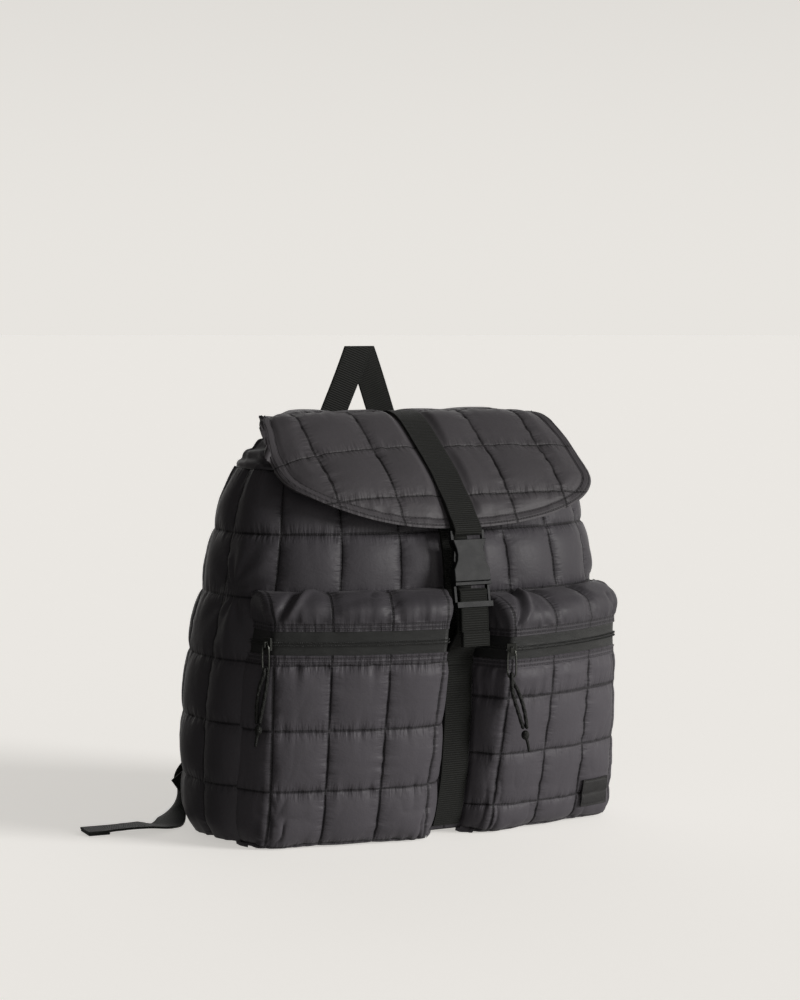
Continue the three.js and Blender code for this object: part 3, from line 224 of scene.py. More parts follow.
class Sheets:
    """Makes objects from grids, as a worker would shape a flat grid by hand."""

    @staticmethod
    def alone(obj: bpy.types.Object) -> None:
        """Selects one object and makes it the active one."""
        bpy.ops.object.select_all(action="DESELECT")
        obj.select_set(True)
        bpy.context.view_layer.objects.active = obj

    @classmethod
    def edit(cls, obj: bpy.types.Object, *steps: Callable[[], object]) -> None:
        """Runs steps on the whole of an object's mesh in edit mode."""
        cls.alone(obj)
        bpy.ops.object.mode_set(mode="EDIT")
        bpy.ops.mesh.select_all(action="SELECT")
        for step in steps:
            step()
        bpy.ops.object.mode_set(mode="OBJECT")

    @classmethod
    def capped(cls, obj: bpy.types.Object, angle: float) -> None:
        """Closes the open ends, turns the faces outwards and shades them smoothly up to an angle."""
        outwards = partial(bpy.ops.mesh.normals_make_consistent, inside=False)
        cls.edit(obj, partial(bpy.ops.mesh.fill_holes, sides=0), outwards)
        cls.smooth(obj, angle)

    @classmethod
    def modify(cls, obj: bpy.types.Object, kind: str, **settings: object) -> None:
        """Adds a modifier with its settings and applies it."""
        cls.alone(obj)
        modifier = obj.modifiers.new(kind.lower(), kind)
        for name, value in settings.items():
            setattr(modifier, name, value)
        bpy.ops.object.modifier_apply(modifier=modifier.name)

    @classmethod
    def smooth(cls, obj: bpy.types.Object, angle: float = 50.0) -> None:
        """Shades the faces smoothly up to an angle in degrees."""
        cls.alone(obj)
        bpy.ops.object.shade_smooth_by_angle(angle=math.radians(angle))

    @classmethod
    def selvedged(cls, obj: bpy.types.Object) -> None:
        """Rounds the edges of a length of webbing."""
        sharp = math.radians(60)
        cls.modify(obj, "BEVEL", width=0.45 * MM, segments=2, limit_method="ANGLE", angle_limit=sharp)
        cls.smooth(obj, 60)

    @classmethod
    def merged(cls, obj: bpy.types.Object, distance: float = 0.01, outward: bool = True) -> None:
        """Merges doubles closer than a distance in millimetres and turns the faces outwards."""
        steps = [partial(bpy.ops.mesh.remove_doubles, threshold=distance * MM)]
        if outward:
            steps.append(partial(bpy.ops.mesh.normals_make_consistent, inside=False))
        cls.edit(obj, *steps)

    @classmethod
    def from_grid(
        cls,
        name: str,
        grid: Grid,
        cloth: tuple[Array, Array],
        quilt: tuple[Array, Array] | None = None,
        edge: Array | None = None,
        shade: Array | None = None,
        wall: float = 0.0,
        centred: bool = False,
        closed: bool = False,
    ) -> bpy.types.Object:
        """Shapes a flat grid into a sheet.

        Args:
            name: The object's name.
            grid: The sheet's places.
            cloth: Lengths across and along the cloth, in millimetres, kept as a UV map in centimetres.
            quilt: Squares counted across and along, kept as a UV map whose whole numbers are stitched.
            edge: Distance to the nearest stitched edge in millimetres, kept as an attribute.
            shade: How deep in a fold a place lies, from 0 to 1, kept as an attribute that darkens the nylon's
                colour as painted shade.
            wall: Thickness to give the sheet.
            centred: Whether the wall lies on both sides of the places.
            closed: Whether the last column meets the first.

        Returns:
            The finished object.
        """
        rows, columns = grid.u.shape
        bpy.ops.mesh.primitive_grid_add(x_subdivisions=columns - 1, y_subdivisions=rows - 1, size=2)
        obj = bpy.context.active_object
        obj.name = obj.data.name = name
        mesh = obj.data
        flat = np.empty(len(mesh.vertices) * 3)
        mesh.vertices.foreach_get("co", flat)
        flat = flat.reshape(-1, 3)
        column = np.rint((flat[:, 0] + 1) / 2 * (columns - 1)).astype(int)
        row = np.rint((flat[:, 1] + 1) / 2 * (rows - 1)).astype(int)
        mesh.vertices.foreach_set("co", (grid.places[row, column] * MM).ravel())
        corner = np.empty(len(mesh.loops), int)
        mesh.loops.foreach_get("vertex_index", corner)
        while mesh.uv_layers:
            mesh.uv_layers.remove(mesh.uv_layers[0])
        maps = {"cloth": (cloth[0] / 10, cloth[1] / 10), "quilt": quilt}
        for title, pair in maps.items():
            if pair is None:
                continue
            layer = mesh.uv_layers.new(name=title)
            across, along = (np.broadcast_to(values, grid.u.shape)[row, column] for values in pair)
            layer.data.foreach_set("uv", np.stack([across, along], 1)[corner].ravel())
        for title, values in (("edge", edge), ("shade", shade)):
            if values is not None:
                attribute = mesh.attributes.new(title, "FLOAT", "POINT")
                numbers = np.broadcast_to(values, grid.u.shape)[row, column]
                attribute.data.foreach_set("value", numbers.astype(float))
        mesh.update()
        if grid.flip:
            cls.edit(obj, bpy.ops.mesh.flip_normals)
        if closed:
            cls.merged(obj, 0.02, outward=False)
        if wall:
            offset = 0.0 if centred else -1.0
            cls.modify(obj, "SOLIDIFY", thickness=wall * MM, offset=offset, use_even_offset=False)
        cls.smooth(obj)
        return obj


def finish_piece(obj: bpy.types.Object, look: "Finish", slot: str, *nodes: str) -> bpy.types.Object:
    """Gives a piece its finish and its body, and hides the CAD nodes that it stands for."""
    obj.data.materials.clear()
    obj.data.materials.append(look.material())
    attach(obj, BODY)
    if nodes:
        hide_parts(*nodes)
    log.info("%s: %d faces", obj.name, len(obj.data.polygons))
    return obj


# Shader maths


class Value:
    """A shader socket that takes part in sums; each sum adds its Math node."""

    def __init__(self, graph: "Graph", socket: bpy.types.NodeSocket) -> None:
        """Wraps an output socket of a graph."""
        self.graph = graph
        self.socket = socket

    def _math(self, operation: str, *others: "Value | float") -> "Value":
        """Adds a Math node over this value and others."""
        node = self.graph.node("ShaderNodeMath", {"operation": operation}, {})
        for slot, item in zip(node.inputs, (self, *others)):
            self.graph.feed(slot, item)
        return Value(self.graph, node.outputs[0])

    def __add__(self, other: "Value | float") -> "Value":
        """Returns the sum."""
        return self._math("ADD", other)

    __radd__ = __add__

    def __mul__(self, other: "Value | float") -> "Value":
        """Returns the product."""
        return self._math("MULTIPLY", other)

    __rmul__ = __mul__

    def __sub__(self, other: "Value | float") -> "Value":
        """Returns the difference."""
        return self._math("SUBTRACT", other)

    def __rsub__(self, other: float) -> "Value":
        """Returns a number less this value."""
        return (self * -1.0) + other

    def __truediv__(self, other: "Value | float") -> "Value":
        """Returns the quotient."""
        return self._math("DIVIDE", other)

    def __pow__(self, other: float) -> "Value":
        """Returns the power."""
        return self._math("POWER", other)

    def fract(self) -> "Value":
        """Returns the part after the point."""
        return self._math("FRACT")

    def size(self) -> "Value":
        """Returns the value without its sign."""
        return self._math("ABSOLUTE")

    def sine(self) -> "Value":
        """Returns the sine."""
        return self._math("SINE")

    def least(self, other: "Value | float") -> "Value":
        """Returns the smaller of two values."""
        return self._math("MINIMUM", other)

    def most(self, other: "Value | float") -> "Value":
        """Returns the larger of two values."""
        return self._math("MAXIMUM", other)

    def ramp(self, start: float, end: float, low: float = 0.0, high: float = 1.0) -> "Value":
        """Maps start to end smoothly onto low to high."""
        node = self.graph.node(
            "ShaderNodeMapRange",
            {"interpolation_type": "SMOOTHSTEP"},
            {"Value": self, "From Min": start, "From Max": end, "To Min": low, "To Max": high},
        )
        return Value(self.graph, node.outputs[0])

    def line_distance(self, pitch: float) -> "Value":
        """Returns the distance to the nearest whole number, given what one step measures."""
        return ((self + 0.5).fract() - 0.5).size() * pitch


class Graph:
    """Builds one material's nodes."""

    def __init__(self, name: str) -> None:
        """Starts a material with its shader."""
        self.target = bpy.data.materials.new(name)
        self.target.use_nodes = True
        self.tree = self.target.node_tree
        self.shader = self.tree.nodes["Principled BSDF"]

    def feed(self, slot: bpy.types.NodeSocket, item: object) -> None:
        """Links a value or another node's socket to an input, or sets the input to a number or colour."""
        if isinstance(item, Value):
            self.tree.links.new(item.socket, slot)
        elif isinstance(item, bpy.types.NodeSocket):
            self.tree.links.new(item, slot)
        else:
            slot.default_value = item

    def node(self, kind: str, settings: dict[str, object], sockets: dict[str, object]) -> bpy.types.Node:
        """Adds a node.

        Args:
            kind: Its Blender type.
            settings: Its own properties, set first.
            sockets: Numbers, colours or links for its inputs, by name.

        Returns:
            The node.
        """
        made = self.tree.nodes.new(kind)
        for name, value in settings.items():
            setattr(made, name, value)
        for name, value in sockets.items():
            self.feed(made.inputs[name], value)
        return made

    def value(self, node: bpy.types.Node, output: str | int = 0) -> Value:
        """Wraps one of a node's outputs."""
        return Value(self, node.outputs[output])

    def map(self, name: str) -> tuple[Value, Value]:
        """Reads a UV map as two values."""
        source = self.node("ShaderNodeUVMap", {"uv_map": name}, {})
        split = self.node("ShaderNodeSeparateXYZ", {}, {"Vector": source.outputs[0]})
        return self.value(split, "X"), self.value(split, "Y")

    def place(self) -> tuple[Value, Value, Value]:
        """Reads the place on the object, in centimetres."""
        source = self.node("ShaderNodeTexCoord", {}, {})
        split = self.node("ShaderNodeSeparateXYZ", {}, {"Vector": source.outputs["Object"]})
        return tuple(self.value(split, axis) * 100.0 for axis in "XYZ")

    def attribute(self, name: str) -> Value:
        """Reads a number stored on the mesh."""
        return self.value(self.node("ShaderNodeAttribute", {"attribute_name": name}, {}), "Fac")

    def noise(
        self, x: Value, y: Value, z: Value | float = 0.0, detail: float = 2.0, roughness: float = 0.5
    ) -> Value:
        """Adds noise at a place whose numbers are already scaled, from 0 to 1."""
        place = self.node("ShaderNodeCombineXYZ", {}, {"X": x, "Y": y, "Z": z})
        made = self.node(
            "ShaderNodeTexNoise",
            {},
            {"Vector": place.outputs[0], "Scale": 1.0, "Detail": detail, "Roughness": roughness},
        )
        return self.value(made)

    def blend(self, share: Value, first: Sequence[float], second: Sequence[float]) -> bpy.types.NodeSocket:
        """Mixes two colours by a share."""
        mix = self.node("ShaderNodeMix", {"data_type": "RGBA"}, {})
        self.feed(mix.inputs[0], share)
        mix.inputs[6].default_value = (*first, 1.0)
        mix.inputs[7].default_value = (*second, 1.0)
        return mix.outputs[2]

    def bump(self, height: Value, depth: float, strength: float = 1.0) -> None:
        """Feeds the shader's normal from a height; a height of 1 stands for the depth, in millimetres."""
        sockets = {"Height": height, "Distance": depth * MM, "Strength": strength}
        self.feed(self.shader.inputs["Normal"], self.node("ShaderNodeBump", {}, sockets).outputs[0])

    def set(self, **values: object) -> None:
        """Sets or links the shader's inputs; an underscore stands for a space in a name."""
        for name, value in values.items():
            self.feed(self.shader.inputs[name.replace("_", " ")], value)


class Finish:
    """A finish that makes its material once."""

    made: dict[str, bpy.types.Material] = {}

    def material(self) -> bpy.types.Material:
        """Returns the material, made at its first use."""
        key = repr(self)
        if key not in Finish.made:
            graph = Graph(self.name)
            self.paint(graph)
            Finish.made[key] = graph.target
        return Finish.made[key]

    def shades(self, low: float, high: float) -> tuple[Colour, Colour]:
        """Returns the finish's colour darkened and lightened."""
        return tuple(c * low for c in self.colour), tuple(c * high for c in self.colour)

    def paint(self, g: Graph) -> None:
        """Adds the finish's nodes to a material's graph."""
        raise NotImplementedError


@dataclass(frozen=True)
class QuiltedNylon(Finish):
    """Soft, slightly shiny nylon over padding, with stitched lines, puckers and fine creases; its colour
    carries painted shade in the stitched grooves, beside the seams and in the hollows.
    """

    name: str = "quilted_nylon"
    colour: Colour = (0.074, 0.069, 0.079)
    pitch_across: float = 52.0
    pitch_along: float = 50.0
    stitch_rows: tuple[float, ...] = ()
    gather: float = 0.0
    lined: bool = True

    def paint(self, g: Graph) -> None:
        """Adds the finish's nodes to a material's graph."""
        x, y = g.map("cloth")
        fine = g.noise(x * 3.1, y * 3.1, 0.0, 3.0, 0.55)
        crease = g.noise(x * 0.9, y * 1.3, 4.0, 3.0, 0.6)
        height = (fine - 0.5) * 0.28 + (crease - 0.5).size() * -0.7
        groove: Value | float = 0.0
        if self.lined:
            qx, qy = g.map("quilt")
            across, along = qx.line_distance(self.pitch_across), qy.line_distance(self.pitch_along)
            pucker_x = (g.noise(x * 0.55, y * 2.6, 1.0, 2.0) - 0.5) * across.ramp(0.0, 11.0, 1.0, 0.0)
            pucker_y = (g.noise(x * 2.6, y * 0.55, 2.0, 2.0) - 0.5) * along.ramp(0.0, 11.0, 1.0, 0.0)
            near_seam = across.least(along)
            groove = near_seam.ramp(0.1, 1.5, 1.0, 0.0)
            dash_x = (y * 3.2).fract().ramp(0.12, 0.3) * across.ramp(0.2, 0.55, 1.0, 0.0)
            dash_y = (x * 3.2).fract().ramp(0.12, 0.3) * along.ramp(0.2, 0.55, 1.0, 0.0)
            height = height + (pucker_x + pucker_y) * 3.4 - groove * 0.8 + dash_x.most(dash_y) * 0.35
        if self.stitch_rows:
            edge = g.attribute("edge")
            dash = (x * 3.6).fract().ramp(0.1, 0.32)
            near = edge.ramp(0.0, 16.0, 1.0, 0.0)
            pull = 4.5 * max(self.gather, 0.25)
            height = height + (g.noise(x * 2.2, y * 0.35, 7.0, 2.0) - 0.5) * near * pull
            for row in self.stitch_rows:
                off = (edge - row).size()
                thread = off.ramp(0.25, 0.55, 1.0, 0.0) * dash
                trench = off.ramp(0.2, 1.3, 1.0, 0.0)
                height = height - trench * 0.7 + thread * 0.6
                deep = (trench - thread * 0.75) * 0.9
                groove = deep if isinstance(groove, float) else groove.most(deep)
        tone = g.noise(x * 0.35, y * 0.35, 9.0, 3.0, 0.6)
        # Painted shade: the colour darkens by the shade attribute, most in the hollows of the quilting and the
        # collar's folds.
        depth = g.attribute("shade")
        light = tone * 0.3 + (fine - 0.5) * 0.12 + 0.86 - depth * 0.34
        # Painted shade: the colour darkens within 6 mm of the quilting seams, where the puffs dip towards
        # them.
        if self.lined:
            light = light - near_seam.ramp(0.0, 6.0, 1.0, 0.0) * 0.12
        # Partly the seams' own dark line and partly painted shade: the colour darkens sharply in the stitched
        # grooves and in the trenches beside the top-stitching.
        if not isinstance(groove, float):
            light = light - groove * 0.62
        g.set(
            Base_Color=g.blend(light, *self.shades(0.12, 1.0)),
            Roughness=fine * 0.12 + 0.46,
            Sheen_Weight=0.07,
            Sheen_Roughness=0.4,
            Sheen_Tint=(0.85, 0.82, 0.86, 1.0),
            Specular_IOR_Level=0.24,
        )
        g.bump(height, 0.55)


@dataclass(frozen=True)
class Webbing(Finish):
    """Woven strap with ribs across it and rounded selvedges."""

    name: str = "ribbed_webbing"
    colour: Colour = (0.0056, 0.0061, 0.0050)
    rib: float = 1.9
    width: float = 25.0

    def paint(self, g: Graph) -> None:
        """Adds the finish's nodes to a material's graph."""
        x, y = g.map("cloth")
        wave = ((y * (10.0 / self.rib)) * TURN).sine() * 0.5 + 0.5
        weave = ((x * 10.0 / 0.9) * TURN).sine() * ((y * 10.0 / 0.95) * TURN).sine()
        side = (x * 10.0 - self.width / 2).size()
        selvedge = side.ramp(self.width / 2 - 1.9, self.width / 2 - 1.2)
        fuzz = g.noise(x * 18.0, y * 18.0, 0.0, 2.0)
        ribs = wave * (1.0 - selvedge) + (((y * 10.0 / 1.2) * TURN).sine() * 0.5 + 0.5) * selvedge
        rounding = side.ramp(self.width / 2 - 0.7, self.width / 2) * 1.2
        height = ribs + weave * 0.16 + (fuzz - 0.5) * 0.4 - rounding
        # Painted shade: the rib crests are coloured lighter and the hollows between the ribs darker, following
        # their relief.
        light = ribs * 0.55 + fuzz * 0.25 + 0.25 + g.noise(x * 0.5, y * 0.3, 3.0) * 0.2
        g.set(
            Base_Color=g.blend(light, *self.shades(0.35, 1.75)),
            Roughness=0.66 - ribs * 0.12,
            Sheen_Weight=0.05,
            Specular_IOR_Level=0.22,
        )
        g.bump(height, 0.35)


@dataclass(frozen=True)
class Tape(Finish):
    """Coated zip tape: dark, a little green, with a fine twill and a satin face."""

    name: str = "zip_tape"
    colour: Colour = (0.019, 0.0198, 0.0196)
    roughness: float = 0.42

    def paint(self, g: Graph) -> None:
        """Adds the finish's nodes to a material's graph."""
        x, y = g.map("cloth")
        twill = ((x * 11.0 + y * 11.0) * TURN).sine() * 0.5 + 0.5
        soft = g.noise(x * 0.8, y * 2.0, 0.0, 3.0)
        light = twill * 0.1 + soft * 0.5 + 0.45
        g.set(
            Base_Color=g.blend(light, *self.shades(0.55, 1.3)),
            Roughness=soft * 0.16 + self.roughness - 0.08,
            Specular_IOR_Level=0.5,
        )
        g.bump(twill * 0.25 + soft * 2.0, 0.3)


@dataclass(frozen=True)
class Moulded(Finish):
    """Moulded or cast surface with a fine grain, on places of the object."""

    name: str
    colour: Colour
    roughness: float = 0.34
    metallic: float = 0.0
    shine: float = 0.5
    grain: float = 40.0

    def paint(self, g: Graph) -> None:
        """Adds the finish's nodes to a material's graph."""
        x, y, z = g.place()
        grain = g.noise(x * self.grain, y * self.grain, z * self.grain, 2.0)
        soft = g.noise(x * 1.4, y * 1.4, z * 1.4, 3.0)
        light = soft * 0.5 + grain * 0.12 + 0.4
        g.set(
            Base_Color=g.blend(light, *self.shades(0.72, 1.2)),
            Roughness=soft * 0.12 + self.roughness - 0.05 + grain * 0.04,
            Metallic=self.metallic,
            Specular_IOR_Level=self.shine,
        )
        g.bump(grain + soft * 0.6, 0.06)


@dataclass(frozen=True)
class Braid(Finish):
    """Braided cord, on places of the object."""

    name: str = "braided_cord"
    colour: Colour = (0.0085, 0.009, 0.0078)
    pitch: float = 1.5

    def paint(self, g: Graph) -> None:
        """Adds the finish's nodes to a material's graph."""
        x, y, z = g.place()
        turn = TURN * 10.0 / self.pitch
        one = ((x + y + z) * turn).sine()
        other = ((z - x - y) * turn).sine()
        strands = one.most(other) * 0.5 + 0.5
        # Painted shade: the strands' crests are coloured lighter and the hollows between them darker.
        light = strands * 0.6 + g.noise(x * 9.0, y * 9.0, z * 9.0) * 0.3 + 0.1
        g.set(
            Base_Color=g.blend(light, *self.shades(0.4, 1.5)),
            Roughness=0.55,
            Specular_IOR_Level=0.4,
        )
        g.bump(strands, 0.3)


@dataclass(frozen=True)
class PanelCloth(Finish):
    """Matte woven cloth for the back panel, base and shoulder pads, with a small open weave."""

    name: str = "panel_cloth"
    colour: Colour = (0.012, 0.0115, 0.012)
    cell: float = 2.6
    mapped: bool = True

    def paint(self, g: Graph) -> None:
        """Adds the finish's nodes to a material's graph."""
        if self.mapped:
            x, y = g.map("cloth")
            z: Value | float = 0.0
        else:
            x, y, z = g.place()
        turn = TURN * 10.0 / self.cell
        cells = (x * turn).sine() * (y * turn).sine()
        soft = g.noise(x * 0.7, y * 0.7, z if isinstance(z, float) else z * 0.7, 3.0)
        light = cells * 0.16 + soft * 0.5 + 0.42
        g.set(
            Base_Color=g.blend(light, *self.shades(0.5, 1.45)),
            Roughness=0.78,
            Sheen_Weight=0.1,
            Specular_IOR_Level=0.3,
        )
        g.bump(cells * 0.5 + soft * 1.5, 0.35)


@dataclass(frozen=True)
class FloorPaint(Finish):
    """The studio's plain warm floor."""

    name: str = "studio_floor"
    colour: Colour = (0.90, 0.89, 0.875)
    glow: Colour = (0.806, 0.783, 0.745)
    glow_power: float = 0.61

    def paint(self, g: Graph) -> None:
        """Adds the finish's nodes to a material's graph."""
        x, y, _ = g.place()
        soft = g.noise(x * 0.05, y * 0.05, 0.0, 2.0)
        g.set(
            Base_Color=g.blend(soft, *self.shades(0.985, 1.0)),
            Roughness=0.9,
            Specular_IOR_Level=0.0,
            Emission_Color=(*self.glow, 1.0),
            Emission_Strength=self.glow_power,
        )


# Shapes that the pieces share


@dataclass
class BagShape:
    """The bag's stitched surface: plan sections that change with the height."""

    half_width: float = 187.0
    front_depth: float = 88.0
    back_depth: float = 108.0
    height: float = 326.0
    neck: float = 300.0
    under_edge: float = 4.5
    seam_angle: float = 2.42
    front_power: float = 2.4
    back_power: float = 3.1
    puff: float = 5.4
    columns: int = 6
    row_pitch: float = 50.0
    sections: Table = table(
        "height width front back",
        [
            (0.0, 0.945, 0.72, 0.84),
            (0.06, 0.995, 0.82, 0.92),
            (0.16, 1.0, 0.92, 0.98),
            (0.33, 0.99, 0.99, 1.0),
            (0.48, 0.955, 1.0, 0.98),
            (0.62, 0.905, 0.99, 0.935),
            (0.72, 0.872, 0.945, 0.875),
            (0.77, 0.855, 0.885, 0.835),
            (0.84, 0.825, 0.75, 0.78),
            (0.9, 0.785, 0.575, 0.735),
            (0.95, 0.735, 0.42, 0.68),
            (0.975, 0.685, 0.34, 0.63),
            (1.0, 0.595, 0.27, 0.57),
        ],
    )

    def size(self, z: Array) -> tuple[Array, Array, Array]:
        """Returns the half width and the depths in front and behind at a height."""
        at = np.asarray(z, float) / self.height
        soften = 0.022
        return (
            self.sections.read("width", at, soften) * self.half_width,
            self.sections.read("front", at, soften) * self.front_depth,
            self.sections.read("back", at, soften) * self.back_depth,
        )

    def point(self, angle: Array, z: Array) -> Array:
        """Returns places by the angle round from the front and the height."""
        a, front, back = self.size(z)
        forward, side = np.cos(angle), np.sin(angle)
        power = 2 / np.where(forward > 0, self.front_power, self.back_power)
        x = a * signed_power(side, power)
        y = np.where(forward > 0, -front, back) * np.abs(forward) ** power
        return np.stack(np.broadcast_arrays(x, y, z), -1)

    def front(self, x: Array, z: Array) -> Array:
        """Returns y of the front surface."""
        a, front, _ = self.size(z)
        return -front * (1 - np.minimum(np.abs(x) / a, 1) ** self.front_power) ** (1 / self.front_power)

    def angle(self, share: Array) -> Array:
        """Returns the angle of a share of the wrap's half length, spaced evenly along the cloth."""
        fine = np.linspace(0, self.seam_angle, 600)
        line = self.point(fine, np.full_like(fine, self.height / 3))
        lengths = lengths_along(line)
        return np.sign(share) * np.interp(np.abs(share), lengths / lengths[-1], fine)


def pillow(across: Array, along: Array, fullness: float = 0.55) -> Array:
    """Swells every square of a quilt: 0 on its stitched lines and 1 in its middle."""
    s, t = np.mod(across, 1), np.mod(along, 1)
    return (4 * s * (1 - s)) ** fullness * (4 * t * (1 - t)) ** fullness


@dataclass
class Puckers:
    """Short creases that run off stitched lines, and a few long soft ones over the squares."""

    seed: int
    depth: float = 1.0
    length: float = 6.5
    pitch: float = 5.6
    soft: float = 0.3

    def lift(self, x: Array, y: Array, across: Array, along: Array, pitch: tuple[float, float]) -> Array:
        """Works out the creases' height.

        Args:
            x: Lengths across the cloth.
            y: Lengths along the cloth.
            across: Squares counted across.
            along: Squares counted along.
            pitch: What a square measures across and along.

        Returns:
            The height in millimetres.
        """
        noise = Noise(self.seed)
        to_column = np.abs(across - np.rint(across)) * pitch[0]
        to_row = np.abs(along - np.rint(along)) * pitch[1]
        by_row = noise.at(x / self.pitch, np.rint(along) * 7.3) * np.exp(-to_row / self.length)
        by_column = noise.at(y / self.pitch, np.rint(across) * 5.1 + 40) * np.exp(-to_column / self.length)
        swing = 10 * noise.at(x / 60, y / 60)
        creases = noise.ridges((x + y * 0.4 + swing) / 34, (y - x * 0.3) / 70, 5)
        others = noise.ridges((x - y * 0.7 - swing) / 46 + 30, (y + x * 0.5) / 60, 6)
        bulge = noise.at(np.floor(across) * 3.7 + 0.5, np.floor(along) * 2.9 + 0.5)
        swell = pillow(across, along, 0.8)
        return self.depth * (by_row + by_column) + swell * (bulge * 1.1 - self.soft * (creases + others))


# The body


@dataclass
class QuiltedBody:
    """The wrap, the gathered collar and the back panel."""

    shape: BagShape
    columns: int = 301
    rows: int = 113
    wall: float = 2.6
    cloth_half: float = 330.0
    column_pitch: float = 55.0
    cover_height: float = 203.0
    strap_half: float = 14.0

    def build_wrap(self) -> None:
        """Shapes the quilted wrap, flat where the pockets and the centre strap cover it."""
        shape = self.shape
        u, v = shares(self.columns, self.rows)
        share = (2 * u - 1) * (1 - 0.5 / self.cloth_half)
        z = shape.under_edge + v * (shape.neck - shape.under_edge)
        grid = Grid(u, v, shape.point(shape.angle(share), z))
        x, y = share * self.cloth_half, z
        across, along = share * shape.columns, z / shape.row_pitch
        lift = shape.puff * pillow(across, along)
        lift += Puckers(3).lift(x, y, across, along, (self.column_pitch, shape.row_pitch))
        lift += 1.4 * Noise(8).at(x / 90, y / 90) * pillow(across, along, 0.3)
        below = 1 - ramp(z, self.cover_height - 12, self.cover_height)
        covered = (1 - ramp(np.abs(share), 0.47, 0.5)) * below
        under_strap = 1 - ramp(np.abs(grid.places[..., 0]), self.strap_half, self.strap_half + 14)
        seam = ramp(1 - np.abs(share), 0.0, 0.03)
        near_neck = ramp(shape.neck - z, 0, 34)
        pleats = Noise(5).at(x / 6.5, 3.0) * (1 - near_neck) * 1.9
        lift = lift * (0.12 + 0.88 * near_neck) * (1 - covered) * (1 - 0.92 * under_strap) * seam
        lift += pleats * seam * (1 - under_strap)
        fold = self.fold_lift(grid.places) + self.pull_lift(x, y) * (1 - covered)
        obj = Sheets.from_grid(
            "body_quilting",
            grid.raised(np.maximum(lift + fold, -0.6)),
            cloth=(x, y),
            quilt=(across, along),
            edge=shape.neck - z,
            shade=np.clip(0.5 - lift / 6, 0, 1) * 0.5,
            wall=self.wall,
        )
        # Painted shade: the wrap gets a darker copy of the shared nylon colour.
        look = QuiltedNylon("body_nylon_painted_darker", (0.063, 0.059, 0.067), pitch_across=self.column_pitch)
        finish_piece(obj, look, "shell_nylon", "body_wrap")

    def fold_lift(self, places: Array) -> Array:
        """Adds the slack hollows where the pockets pull on the sides."""
        x, z = places[..., 0], places[..., 2]
        left = 1.5 * hill(x + 172, 22) * hill(z - 205, 30)
        right = 1.2 * hill(x - 168, 22) * hill(z - 196, 30)
        return -left - right

    def pull_lift(self, x: Array, y: Array) -> Array:
        """Adds the creases that fan out from where each pocket's upper outer corner is sewn on."""
        lift = 0.0
        for place, height, turns in ((-205, 205, 9), (204, 196, 8)):
            off_x, off_y = x - place, y - height
            away = np.hypot(off_x, off_y)
            fan = np.cos(turns * np.arctan2(off_y, off_x) + 0.6 * Noise(17).at(away / 14, turns))
            lift = lift + 1.7 * fan * np.exp(-away / 32) * ramp(away, 2, 12)
            lift = lift - 2.2 * hill(away, 9)
        return lift

    def build_panel(self) -> None:
        """Shapes the padded back panel with its lengthwise channels."""
        shape = self.shape
        half = (math.pi - shape.seam_angle) * 0.985
        u, v = shares(91, 81)
        turn = (2 * u - 1) * half
        z = shape.under_edge + v * (shape.neck - shape.under_edge)
        grid = Grid(u, v, shape.point(math.pi + turn, z))
        x, y = (2 * u - 1) * 142, z
        channel = np.minimum(np.abs(np.abs(x) - 18), np.abs(y - 190) + np.abs(x) * 0.15)
        edge = np.minimum(1 - np.abs(2 * u - 1), np.minimum(v, 1 - v) * 2)
        lift = 4.0 * np.cos((2 * u - 1) * 1.45) * ramp(edge, 0, 0.14)
        lift -= 2.4 * hill(channel, 4.0)
        lift += 0.5 * Noise(21).at(x / 40, y / 40)
        obj = Sheets.from_grid("back_padding", grid.raised(lift), cloth=(x, y), wall=5.0)
        finish_piece(obj, PanelCloth(), "panel_fabric", "back_panel")

    def build_collar(self) -> None:
        """Gathers the collar in level folds and upright pleats."""
        shape = self.shape
        u, v = shares(381, 37)
        turn = (2 * u - 1) * math.pi
        start = shape.neck + 0.35
        rim = shape.height - 15 * np.maximum(np.cos(turn), 0) ** 0.7
        z = start + (rim - start) * v
        grid = Grid(u, v, shape.point(turn, z))
        x, y = (2 * u - 1) * 400, v * 60
        noise = Noise(31)
        wander = 1.3 * noise.at((np.cos(turn) + 2) * 3, (np.sin(turn) + 2) * 3)
        folds = 1.5 * np.sin(v * 3 * TURN - 0.6 + wander)
        pleats = 1.3 * noise.at(np.abs(x) / 9.0 + 2.0 * noise.at(np.abs(x) / 30, v * 2), v * 1.2)
        lift = (folds + 0.9 + pleats) * ramp(np.minimum(v, 1 - v), 0, 0.12) * (0.45 + 0.55 * v)
        obj = Sheets.from_grid(
            "neck_gathers",
            grid.raised(lift),
            cloth=(x, y),
            quilt=(x / 1000 + 0.5, y / 1000 + 0.5),
            edge=y,
            shade=np.clip(0.6 - folds / 4, 0, 1),
            wall=2.2,
            closed=True,
        )
        finish_piece(obj, QuiltedNylon("collar_nylon", lined=False), "shell_nylon", "neck_collar")


# The lid


